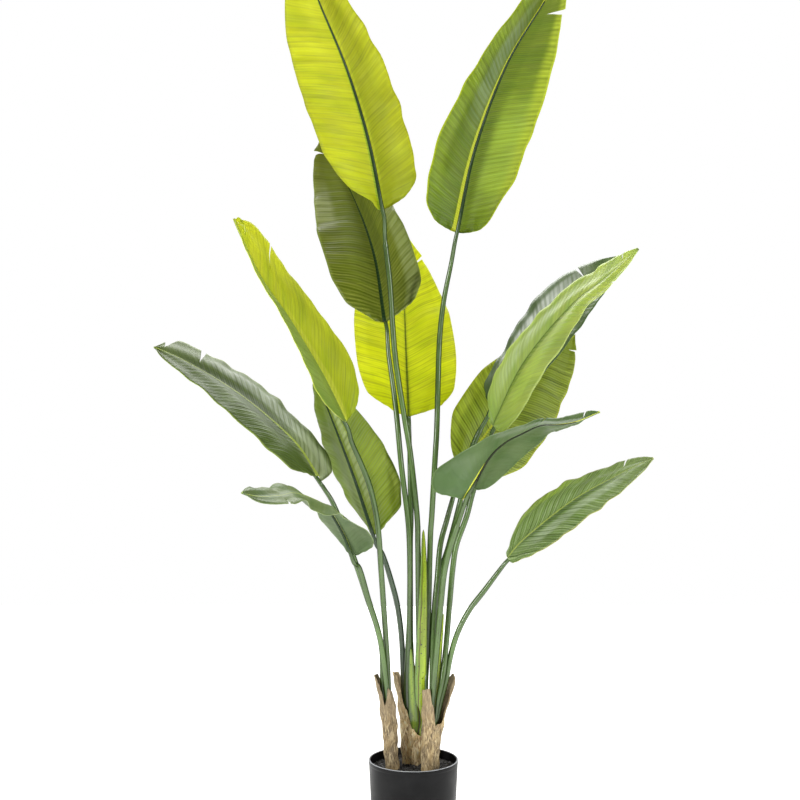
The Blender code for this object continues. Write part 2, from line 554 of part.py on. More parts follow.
class Blade:
    """The surface of one leaf: s runs from neck to tip, u from the left edge to the right."""

    def __init__(self, leaf):
        self.leaf = leaf
        self.line = spline(leaf["rib"])
        self.lengths = lengths_along(self.line)
        self.sign = 1 if leaf["upper"] == "back" else -1

    def angles(self, s):
        """How far the blade is turned and folded at s, from evenly spaced values."""
        turns, folds = self.leaf["turn"], self.leaf["fold"]
        places = [i / (len(turns) - 1) for i in range(len(turns))]
        at = min(max(s, 0.0), 1.0)
        return (math.radians(smooth_value(places, turns, at)),
                math.radians(smooth_value(places, folds, at)))

    def frame(self, s):
        point, direction = place_on(self.line, self.lengths, s)
        across, back = side_and_back(direction)
        return point, direction, across, back

    def upper_normal(self, s):
        """The way that the upper side looks at the midrib."""
        point, direction, across, back = self.frame(s)
        turn, fold = self.angles(s)
        return self.sign * (back * math.cos(turn) - across * math.sin(turn))

    def half_width(self, side, s):
        sizes = (BASE_HALF_WIDTH,) + self.leaf[side] + (0.0,)
        return smooth_value(STATIONS, sizes, s)

    def point(self, s, u, along=0.0):
        """A point of the blade's middle surface, moved along the midrib if asked."""
        ease = min(1.0, s / 0.12) * min(1.0, (1 - s) / 0.15)
        s = s + VEIN_SWEEP * abs(u) * ease
        point, direction, across, back = self.frame(s)
        turn, fold = self.angles(s)
        side = 1 if u > 0 else -1
        width = self.half_width("right" if u > 0 else "left", s)
        steps = 6
        for step in range(steps):
            part = (step + 0.5) / steps * abs(u)
            angle = side * turn + self.sign * (fold + CURL * (0.5 - part) * 2)
            reach = width * abs(u) / steps
            point = point + (side * across * math.cos(angle) + back * math.sin(angle)) * reach
        phase = 2 * math.pi * self.leaf["waves"] * s + 1.7 * side + 9 * self.leaf["left"][3]
        ripple = WAVE_HEIGHT * u * u * math.sin(phase) * math.sin(math.pi * s) ** 0.5
        normal = back * math.cos(angle) - side * across * math.sin(angle)
        heel = self.leaf.get("heel", (0.0, 0.0))[0 if side < 0 else 1]
        along -= heel * abs(u) * max(0.0, 1 - s / 0.3) ** 2
        return point + normal * ripple + direction * along


def blade_rows(blade, leaf):
    """Rows of the blade with the extra row of each slit: place, and the slit's side and depth."""
    rows = [(s, None, 0.0) for s in ROWS]
    for side, place, inner in leaf["slits"]:
        rows = [row for row in rows if row[1] or abs(row[0] - place) > 0.02]
        rows.append((place, side, inner))
    return sorted(rows, key=lambda row: row[0])


def make_blade(name, leaf, blade):
    """The moulded blade: a sheet of triangles, the same on both faces, given a thickness."""
    verts = []
    below = []
    above = []
    for s, slit, inner in blade_rows(blade, leaf):
        lower_row = []
        upper_row = []
        for u in COLUMNS:
            open_here = slit and (u > 0) == (slit == "right") and abs(u) > inner
            if open_here:
                gape = SLIT_GAPE * (abs(u) - inner) / (1 - inner)
                verts.append(blade.point(s, u, -gape))
                lower_row.append(len(verts) - 1)
                verts.append(blade.point(s, u, gape))
                upper_row.append(len(verts) - 1)
            else:
                verts.append(blade.point(s, u))
                lower_row.append(len(verts) - 1)
                upper_row.append(len(verts) - 1)
        below.append(lower_row)
        above.append(upper_row)
    verts.append(blade.point(1.0, 0.0))
    faces = []
    for start, end in zip(above, below[1:]):
        for j in range(len(COLUMNS) - 1):
            a, b, c, d = start[j], start[j + 1], end[j + 1], end[j]
            if COLUMNS[j] < 0:
                faces += [(a, b, d), (b, c, d)]
            else:
                faces += [(a, b, c), (a, c, d)]
    for j in range(len(COLUMNS) - 1):
        faces.append((above[-1][j], above[-1][j + 1], len(verts) - 1))
    sheet = new_object(name, verts, faces, principled(name + "_green", leaf["colour"], 0.35))
    solid = sheet.modifiers.new("thickness", "SOLIDIFY")
    solid.thickness = BLADE_THICKNESS
    solid.offset = 0.0
    return sheet


def stem_line(leaf, blade):
    """The stem from its foot to the neck, and on as the wire under the midrib."""
    floor = TRUNKS[leaf["trunk"]]["floor"]
    x, y = leaf["foot"]
    points = [Vector((x, y, floor - HOLE_DEPTH + GAP)), Vector((x, y, floor + 0.003))]
    points += [Vector(p) for p in leaf["stem"]]
    for s in (-NECK_LEAD,) + RIB_ROWS:
        radius = rib_radius(max(s, 0.0))
        below = BLADE_THICKNESS / 2 + GAP + radius
        point, direction = blade.frame(max(s, 0.0))[:2]
        point = point + direction * min(s, 0.0)
        points.append(point - blade.upper_normal(max(s, 0.0)) * below)
    return points


def rib_radius(s):
    """The wire gets thinner from the neck to its end."""
    return NECK_RADIUS + (RIB_TIP_RADIUS - NECK_RADIUS) * min(s / RIB_REACH, 1.0)


def make_stem(name, leaf, blade):
    """A stem with its wire rib, as one piece."""
    points = stem_line(leaf, blade)
    rib = points[-len(RIB_ROWS):]
    fine = spline(points[:-len(RIB_ROWS) + 1], 8)
    marks = lengths_along(fine)
    places = [i / STEM_STEPS for i in range(STEM_STEPS)]
    places[1] = marks[8] / marks[-1]
    line = []
    girths = []
    for place in places:
        point = place_on(fine, marks, place)[0]
        radius = smooth_value(GIRTH_PLACES, GIRTH_RADII, place)
        width = radius
        if "spread" in leaf:
            swell = ramp(0.215, 0.295, point.z) * (1 - ramp(0.31, 0.47, point.z))
            width += (leaf["spread"] - radius) * swell
        line.append(point)
        girths.append((width, radius))
    for s, point in zip(RIB_ROWS, rib):
        line.append(point)
        girths.append((rib_radius(s), rib_radius(s)))
    tube("stem_" + name, line, girths, STEM_SIDES,
         principled("stem_" + name + "_green", GREEN_STEM, 0.5))


def make_shoot(name, shoot):
    """A flat pointed shoot that stands in a trunk piece beside the stems."""
    floor = TRUNKS[shoot["trunk"]]["floor"]
    x, y = shoot["foot"]
    points = [(x, y, floor - HOLE_DEPTH + GAP), (x, y, floor + 0.003)] + list(shoot["path"])
    fine = spline(points, 8)
    marks = lengths_along(fine)
    line = []
    girths = []
    for i in range(SHOOT_STEPS + 1):
        place = i / SHOOT_STEPS
        line.append(place_on(fine, marks, place)[0])
        swell = ramp(0.05, 0.35, place) * (1 - place) ** 0.6
        width = 0.0026 * (1 - place) + (shoot["size"][0]) * swell + 0.0004
        depth = 0.0026 * (1 - place) * (1 - swell) + (shoot["size"][1]) * swell + 0.0004
        girths.append((width, depth))
    tube(name, line, girths, 8, principled(name + "_green", shoot["colour"], 0.45))


def main():
    for obj in list(bpy.data.objects):
        bpy.data.objects.remove(obj, do_unlink=True)
    make_pot()
    make_soil()
    for name, trunk in TRUNKS.items():
        make_trunk(name, trunk)
    for name, leaf in LEAVES.items():
        blade = Blade(leaf)
        make_blade("leaf_" + name, leaf, blade)
        make_stem(name, leaf, blade)
    for name, shoot in SHOOTS.items():
        make_shoot(name, shoot)


main()
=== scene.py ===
"""An artificial traveller's palm in a plain black pot: the finished surfaces, for Blender 4.5.

It is laid out as an add-on and run as a script. Units are metres. The pot stands on z = 0
and the front of the plant looks along -Y. The frame gives the solids that the finer
pieces here stand for, and the numbers below repeat the sizes of those solids.
"""
import math

import bpy
import numpy as np
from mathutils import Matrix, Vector, noise


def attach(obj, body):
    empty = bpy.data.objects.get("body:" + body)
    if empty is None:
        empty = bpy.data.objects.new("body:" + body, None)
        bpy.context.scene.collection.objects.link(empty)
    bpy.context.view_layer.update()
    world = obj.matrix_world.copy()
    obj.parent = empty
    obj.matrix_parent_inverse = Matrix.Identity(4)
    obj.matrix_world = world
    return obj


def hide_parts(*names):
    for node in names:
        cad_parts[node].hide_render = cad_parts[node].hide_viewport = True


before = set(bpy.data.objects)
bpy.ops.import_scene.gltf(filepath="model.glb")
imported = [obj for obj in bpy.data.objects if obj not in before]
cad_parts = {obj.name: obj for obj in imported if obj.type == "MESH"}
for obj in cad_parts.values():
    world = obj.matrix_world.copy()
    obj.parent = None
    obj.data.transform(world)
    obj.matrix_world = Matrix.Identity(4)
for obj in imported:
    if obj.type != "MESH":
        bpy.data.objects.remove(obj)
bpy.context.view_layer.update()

bl_info = {
    "name": "Artificial Traveller's Palm",
    "version": (1, 0, 0),
    "blender": (4, 5, 0),
    "location": "3D View > Sidebar > Palm",
    "description": "Leaves, stems, bark pieces, pot and stage of an artificial palm",
    "category": "Object",
}

GAP = 0.0003  # clearance between two separate pieces of the frame

# Blades. STATIONS are the fractions of a blade's length at which its half widths are given.
STATIONS = (0.0, 0.03, 0.10, 0.25, 0.45, 0.65, 0.82, 0.94, 1.0)
BASE_HALF_WIDTH = 0.004
VEIN_SWEEP = 0.05
CURL = math.radians(10)
WAVE_HEIGHT = 0.004
SLIT_GAPE = 0.003
ROW_STEP = 0.0027  # distance between the mesh rows of a blade
FOLD_HEIGHT = 0.00014
MIDRIB_HEIGHT = 0.0012

# Stems, and the wires that they become under the blades.
RIB_REACH = 0.86
RIB_TIP_RADIUS = 0.0012
NECK_RADIUS = 0.0038
NECK_LEAD = 0.02
HOLE_DEPTH = 0.022
GIRTH_PLACES = (0.0, 0.10, 0.25, 0.75, 1.0)
GIRTH_RADII = (0.0032, 0.0036, 0.0055, 0.0054, NECK_RADIUS)
STEM_SIDES = 18
SKIN_RADIUS = 0.005
SKIN_GIRTH = 2 * math.pi * SKIN_RADIUS  # the patterns of all stems are laid out round this

# Filling and bark pieces. The lean of a bark piece is measured from the filling to TRUNK_TOP.
SOIL_LUMP = 0.0015
GRANULES = 3600
TRUNK_FOOT = 0.085
TRUNK_TOP = 0.32
TRUNK_WALL = 0.0022

# Stage: the softboxes have a place, a target, a width and height, and a power in watts.
FLOOR_HALF = 2.6
LIGHTS = {
    "overhead": ((0.0, 2.2, 3.2), (0.0, 0.0, 1.0), (3.2, 2.2), 168),
    "front_left": ((-2.3, -2.1, 1.5), (0.0, 0.0, 0.9), (0.5, 2.2), 92),
    "front_right": ((2.4, -1.9, 1.4), (0.0, 0.0, 0.8), (0.5, 2.2), 60),
}
CAMERA_PLACE = (-0.027, -3.0, 1.02)
CAMERA_TILT = math.radians(88.5)
CAMERA_SHIFT = -0.0334

# Bark pieces: "foot" and "top" are the places of the tube's middle, "size" its half width
# and depth, and "floor" the bottom of its hollow. "rim" is the height of the torn edge for
# twelve directions, counted from +X towards +Y, and "flare" how far the edge curls outwards
# there. "tone" is painted light and shade: it makes the piece's colours lighter or darker.
TRUNKS = {
    "trunk_left": {
        "foot": (-0.043, -0.01), "top": (-0.051, -0.011), "size": (0.0135, 0.0155),
        "floor": 0.232, "tone": 0.78,
        "rim": (0.272, 0.266, 0.262, 0.27, 0.31, 0.335, 0.337, 0.322, 0.278, 0.313, 0.308,
                0.286),
        "flare": (0.001, 0.0, 0.0, 0.0, 0.005, 0.011, 0.013, 0.009, 0.001, 0.0, 0.0, 0.002),
    },
    "trunk_middle": {
        "foot": (-0.001, 0.03), "top": (-0.003, 0.03), "size": (0.0225, 0.019),
        "floor": 0.186, "tone": 2.2,
        "rim": (0.245, 0.262, 0.255, 0.262, 0.29, 0.33, 0.335, 0.33, 0.262, 0.222, 0.21,
                0.203),
        "flare": (0.0, 0.0, 0.0, 0.0, 0.002, 0.01, 0.017, 0.016, 0.003, 0.0, 0.0, 0.0),
    },
    "trunk_right": {
        "foot": (0.0316, -0.02), "top": (0.04, -0.02), "size": (0.0175, 0.02), "floor": 0.214,
        "tone": 1.0,
        "rim": (0.326, 0.336, 0.296, 0.25, 0.25, 0.26, 0.304, 0.313, 0.315, 0.284, 0.24,
                0.246),
        "flare": (0.026, 0.026, 0.012, 0.0, 0.0, 0.002, 0.004, 0.005, 0.002, 0.0, 0.0, 0.006),
    },
}

# Leaves. "foot" is where the stem stands in its trunk piece, "stem" its way from there to
# the neck, and "rib" the way of the midrib from the neck to the tip. "upper" says which way
# the upper side looks. Shape of the blade:
#   left, right  half widths at the inner STATIONS, as seen from the front
#   turn, fold   the blade's turn about its midrib and the rise of its halves, in degrees at
#                even steps from neck to tip; left_fold is for a left half that differs
#   waves, wavy  how many waves the edge has, and how high they are
#   lean         how far the side veins run towards the tip, as a fraction of the length
#   heel, belly  how far the left and right lobes of the base go back past the neck, and how
#                round they are
#   slits        each has a side, a place, its inner end and, if not SLIT_GAPE, its gape
# Shape of the stem:
#   sleeves      heights at which an older sheath ends in a collar
#   spread       half width of a stem that is flattened near its foot
#   wire         the wire's share of its usual thickness under the blade
PLAIN_LEAF = {"slits": (), "sleeves": (), "heel": (0.0, 0.0), "belly": 0.3, "wire": 1.0,
              "lean": VEIN_SWEEP}
LEAVES = {
    "top_left": {
        "trunk": "trunk_middle", "upper": "back", "foot": (0.0055, 0.0265),
        "stem": ((0.0092, 0.02, 0.303), (0.0108, 0.014, 0.393), (0.0101, 0.01, 0.486),
                 (0.009, 0.004, 0.595), (0.007, 0.0, 0.658), (-0.006, -0.008, 0.779),
                 (-0.019, -0.014, 0.859), (-0.037, -0.022, 0.98), (-0.047, -0.034, 1.121),
                 (-0.056, -0.045, 1.201)),
        "rib": ((-0.062, -0.06, 1.263), (-0.089, -0.09, 1.396), (-0.129, -0.13, 1.525),
                (-0.181, -0.19, 1.646), (-0.216, -0.25, 1.746)),
        "left": (0.016, 0.061, 0.097, 0.103, 0.09, 0.056, 0.023),
        "right": (0.071, 0.103, 0.1, 0.092, 0.073, 0.05, 0.021),
        "turn": (9, 9), "fold": (29, 24), "waves": 7, "wavy": 0.9, "sleeves": (1.195,),
    },
    "top_right": {
        "trunk": "trunk_right", "upper": "back", "foot": (0.0285, -0.0145),
        "stem": ((0.028, -0.0125, 0.25), (0.0262, 0.0, 0.313), (0.029, 0.009, 0.389),
                 (0.0335, 0.008, 0.595), (0.037, 0.003, 0.658), (0.043, -0.008, 0.769),
                 (0.0464, -0.01, 0.829), (0.0486, -0.014, 0.918), (0.0515, -0.02, 1.008),
                 (0.0592, -0.028, 1.083), (0.0737, -0.038, 1.158)),
        "rib": ((0.085, -0.05, 1.219), (0.119, -0.08, 1.378), (0.176, -0.13, 1.531),
                (0.245, -0.19, 1.643), (0.281, -0.22, 1.706)),
        "left": (0.06, 0.085, 0.089, 0.073, 0.054, 0.042, 0.017),
        "right": (0.054, 0.075, 0.104, 0.106, 0.088, 0.05, 0.021),
        "turn": (-2, -4), "fold": (28, 24), "waves": 6, "wavy": 0.8,
        "slits": (("left", 0.84, 0.33, 0.006), ("right", 0.8, 0.33, 0.006)),
    },
    "centre_dark": {
        "trunk": "trunk_middle", "upper": "front", "foot": (-0.0075, 0.0235),
        "stem": ((-0.0089, 0.022, 0.303), (-0.0079, 0.018, 0.384), (-0.0073, 0.014, 0.465),
                 (-0.0069, 0.01, 0.536), (-0.008, 0.007, 0.6), (-0.012, 0.005, 0.657),
                 (-0.024, 0.0, 0.754), (-0.033, 0.0, 0.85), (-0.04, 0.005, 0.908),
                 (-0.05, 0.015, 0.98)),
        "rib": ((-0.057, 0.03, 1.044), (-0.081, 0.12, 1.186), (-0.128, 0.24, 1.316),
                (-0.202, 0.36, 1.459)),
        "left": (0.032, 0.076, 0.1, 0.103, 0.086, 0.058, 0.028),
        "right": (0.08, 0.101, 0.094, 0.08, 0.059, 0.034, 0.013),
        "turn": (-12, -12), "fold": (22, 20), "waves": 6, "wavy": 0.6,
        "slits": (("left", 0.9, 0.33, 0.007),), "spread": 0.0112,
    },
    "centre_bright": {
        "trunk": "trunk_middle", "upper": "front", "foot": (-0.003, 0.04),
        "stem": ((-0.0047, 0.038, 0.299), (-0.0058, 0.036, 0.461), (-0.0062, 0.034, 0.591),
                 (-0.0048, 0.034, 0.654), (-0.007, 0.04, 0.763)),
        "rib": ((-0.009, 0.06, 0.853), (-0.014, 0.17, 0.978), (-0.018, 0.28, 1.094),
                (-0.025, 0.42, 1.262)),
        "left": (0.038, 0.086, 0.106, 0.112, 0.1, 0.069, 0.029),
        "right": (0.073, 0.099, 0.107, 0.1, 0.073, 0.043, 0.015),
        "turn": (0, 0), "fold": (12, 12), "waves": 5, "wavy": 0.3,
        "slits": (("right", 0.76, 0.33, 0.005),),
    },
    "left_bright": {
        "trunk": "trunk_left", "upper": "front", "foot": (-0.0445, -0.0065),
        "stem": ((-0.0495, -0.006, 0.32), (-0.058, -0.02, 0.452), (-0.0646, -0.035, 0.5535),
                 (-0.0693, -0.05, 0.627), (-0.076, -0.065, 0.678), (-0.087, -0.08, 0.726),
                 (-0.102, -0.1, 0.768), (-0.119, -0.13, 0.8115)),
        "rib": ((-0.129, -0.16, 0.855), (-0.173, -0.19, 0.947), (-0.231, -0.225, 1.046),
                (-0.281, -0.255, 1.124), (-0.327, -0.29, 1.228)),
        "left": (0.02, 0.05, 0.075, 0.07, 0.045, 0.035, 0.016),
        "right": (0.042, 0.067, 0.086, 0.082, 0.077, 0.069, 0.046),
        "turn": (60, 74, 75), "fold": (20, 22, 14), "left_fold": (18, 6, 9, 13, 14),
        "waves": 6, "wavy": 0.06, "lean": 0.12,
        "slits": (("right", 0.69, 0.35, 0.003), ("right", 0.91, 0.1, 0.005)),
    },
    "left_low": {
        "trunk": "trunk_left", "upper": "front", "foot": (-0.0535, -0.0115),
        "stem": ((-0.0562, -0.0105, 0.264), (-0.0615, -0.007, 0.31), (-0.063, -0.002, 0.38),
                 (-0.073, 0.0, 0.43), (-0.091, -0.001, 0.485), (-0.115, -0.01, 0.56),
                 (-0.155, -0.03, 0.673), (-0.177, -0.04, 0.714)),
        "rib": ((-0.19, -0.05, 0.741), (-0.24, -0.045, 0.812), (-0.341, -0.025, 0.897),
                (-0.452, 0.0, 0.963), (-0.522, 0.015, 0.994)),
        "left": (0.024, 0.075, 0.094, 0.092, 0.068, 0.05, 0.023),
        "right": (0.056, 0.066, 0.062, 0.077, 0.072, 0.066, 0.06),
        "turn": (60, 66, 65), "fold": (4, 2, 2), "waves": 6, "wavy": 0.4,
        "heel": (0.0, 0.014),
        "slits": (("right", 0.765, 0.25, 0.006), ("right", 0.955, 0.2, 0.006)),
    },
    "left_inner": {
        "trunk": "trunk_middle", "upper": "back", "foot": (-0.0145, 0.034),
        "stem": ((-0.0203, 0.034, 0.328), (-0.024, 0.03, 0.406), (-0.032, 0.025, 0.469),
                 (-0.043, 0.02, 0.515), (-0.061, 0.01, 0.5745)),
        "rib": ((-0.079, 0.0, 0.616), (-0.115, -0.02, 0.727), (-0.152, -0.04, 0.829),
                (-0.195, -0.05, 0.938)),
        "left": (0.015, 0.035, 0.073, 0.085, 0.073, 0.052, 0.024),
        "right": (0.032, 0.079, 0.093, 0.085, 0.066, 0.042, 0.02),
        "turn": (-17, -17), "fold": (45, 42), "waves": 5, "wavy": 0.5,
    },
    "left_arching": {
        "trunk": "trunk_left", "upper": "back", "foot": (-0.0465, -0.0175),
        "stem": ((-0.0535, -0.0185, 0.3125), (-0.0617, -0.024, 0.383),
                 (-0.0716, -0.03, 0.434), (-0.09, -0.042, 0.4955), (-0.106, -0.062, 0.558)),
        "rib": ((-0.1207, -0.09, 0.592), (-0.135, -0.115, 0.634), (-0.159, -0.155, 0.684),
                (-0.1783, -0.185, 0.704), (-0.2195, -0.25, 0.727), (-0.2449, -0.29, 0.727),
                (-0.2798, -0.33, 0.73), (-0.3075, -0.36, 0.74)),
        "left": (0.022, 0.036, 0.046, 0.046, 0.044, 0.036, 0.02),
        "right": (0.045, 0.052, 0.05, 0.046, 0.044, 0.034, 0.018),
        "turn": (-25, -50, -93, -108, -110), "fold": (30, 0, -10, 0, 5), "waves": 5,
        "wavy": 0.4, "heel": (0.0, 0.008), "slits": (("right", 0.73, 0.33),), "wire": 0.75,
    },
    "right_front": {
        "trunk": "trunk_right", "upper": "front", "foot": (0.04, -0.027),
        "stem": ((0.0475, -0.0265, 0.28), (0.0563, -0.024, 0.325), (0.0645, -0.018, 0.392),
                 (0.073, -0.014, 0.492), (0.0785, -0.014, 0.552), (0.086, -0.014, 0.599),
                 (0.106, -0.014, 0.656), (0.12, -0.016, 0.71), (0.152, -0.024, 0.81)),
        "rib": ((0.158, -0.03, 0.838), (0.215, -0.07, 0.963), (0.302, -0.11, 1.074),
                (0.36, -0.15, 1.123), (0.419, -0.19, 1.18)),
        "left": (0.033, 0.06, 0.066, 0.061, 0.052, 0.04, 0.02),
        "right": (0.05, 0.067, 0.084, 0.082, 0.056, 0.034, 0.02),
        "turn": (-61, -61), "fold": (4, 3), "waves": 6, "wavy": 0.35,
        "slits": (("left", 0.9, 0.33), ("right", 0.8, 0.66)),
    },
    "right_behind": {
        "trunk": "trunk_right", "upper": "front", "foot": (0.0425, -0.0115),
        "stem": ((0.0435, -0.0085, 0.262), (0.0455, 0.01, 0.33), (0.046, 0.02, 0.44),
                 (0.052, 0.028, 0.525), (0.072, 0.034, 0.591), (0.096, 0.038, 0.683),
                 (0.12, 0.045, 0.789), (0.152, 0.05, 0.853)),
        "rib": ((0.162, 0.055, 0.877), (0.219, 0.08, 0.963), (0.304, 0.11, 1.057),
                (0.372, 0.135, 1.124), (0.428, 0.155, 1.182)),
        "left": (0.03, 0.052, 0.056, 0.078, 0.088, 0.07, 0.036),
        "right": (0.04, 0.075, 0.085, 0.08, 0.065, 0.045, 0.02),
        "turn": (-52, -52), "fold": (4, 4), "waves": 5, "wavy": 0.4,
        "slits": (("left", 0.8, 0.33, 0.004),), "sleeves": (0.823,),
    },
    "right_broad": {
        "trunk": "trunk_right", "upper": "front", "foot": (0.035, -0.0085),
        "stem": ((0.0355, -0.008, 0.256), (0.0375, 0.0, 0.32), (0.041, 0.008, 0.446),
                 (0.048, 0.012, 0.526), (0.0545, 0.018, 0.594), (0.068, 0.025, 0.645),
                 (0.082, 0.035, 0.694)),
        "rib": ((0.099, 0.06, 0.734), (0.133, 0.085, 0.79), (0.18, 0.12, 0.85),
                (0.248, 0.17, 0.927), (0.351, 0.24, 1.018)),
        "left": (0.02, 0.05, 0.085, 0.09, 0.072, 0.046, 0.02),
        "right": (0.04, 0.08, 0.105, 0.105, 0.086, 0.06, 0.024),
        "turn": (0, 0), "fold": (4, 8), "waves": 6, "wavy": 0.7,
        "slits": (("right", 0.9, 0.33),),
    },
    "right_drooping": {
        "trunk": "trunk_right", "upper": "back", "foot": (0.0315, -0.025),
        "stem": ((0.0405, -0.03, 0.326), (0.0525, -0.034, 0.464), (0.061, -0.04, 0.548),
                 (0.0728, -0.048, 0.601), (0.0915, -0.064, 0.662)),
        "rib": ((0.1136, -0.08, 0.719), (0.1455, -0.112, 0.78), (0.1736, -0.135, 0.811),
                (0.2054, -0.16, 0.831), (0.238, -0.185, 0.848), (0.2716, -0.205, 0.851),
                (0.3031, -0.23, 0.859), (0.3397, -0.25, 0.877)),
        "left": (0.082, 0.071, 0.05, 0.038, 0.032, 0.03, 0.016),
        "right": (0.026, 0.04, 0.058, 0.062, 0.052, 0.036, 0.016),
        "turn": (1, -15, -10, 5, 15), "fold": (11, 45, 65, 73, 75), "waves": 4, "wavy": 0.3,
        "heel": (0.034, 0.0), "belly": 0.75,
        "slits": (("left", 0.57, 0.33), ("left", 0.86, 0.33)), "sleeves": (0.64,),
        "wire": 0.62,
    },
    "right_low": {
        "trunk": "trunk_right", "upper": "front", "foot": (0.045, -0.0195),
        "stem": ((0.048, -0.0175, 0.25), (0.0562, -0.0145, 0.293), (0.0657, -0.012, 0.33),
                 (0.0746, -0.012, 0.377), (0.0884, -0.015, 0.423), (0.111, -0.018, 0.468),
                 (0.142, -0.022, 0.51)),
        "rib": ((0.187, -0.03, 0.575), (0.223, -0.05, 0.619), (0.309, -0.09, 0.696),
                (0.392, -0.13, 0.75), (0.454, -0.16, 0.785)),
        "left": (0.017, 0.036, 0.063, 0.058, 0.041, 0.03, 0.017),
        "right": (0.026, 0.042, 0.066, 0.074, 0.068, 0.048, 0.025),
        "turn": (-60, -60), "fold": (3, 3), "waves": 6, "wavy": 0.45,
        "slits": (("left", 0.8, 0.33),),
    },
}
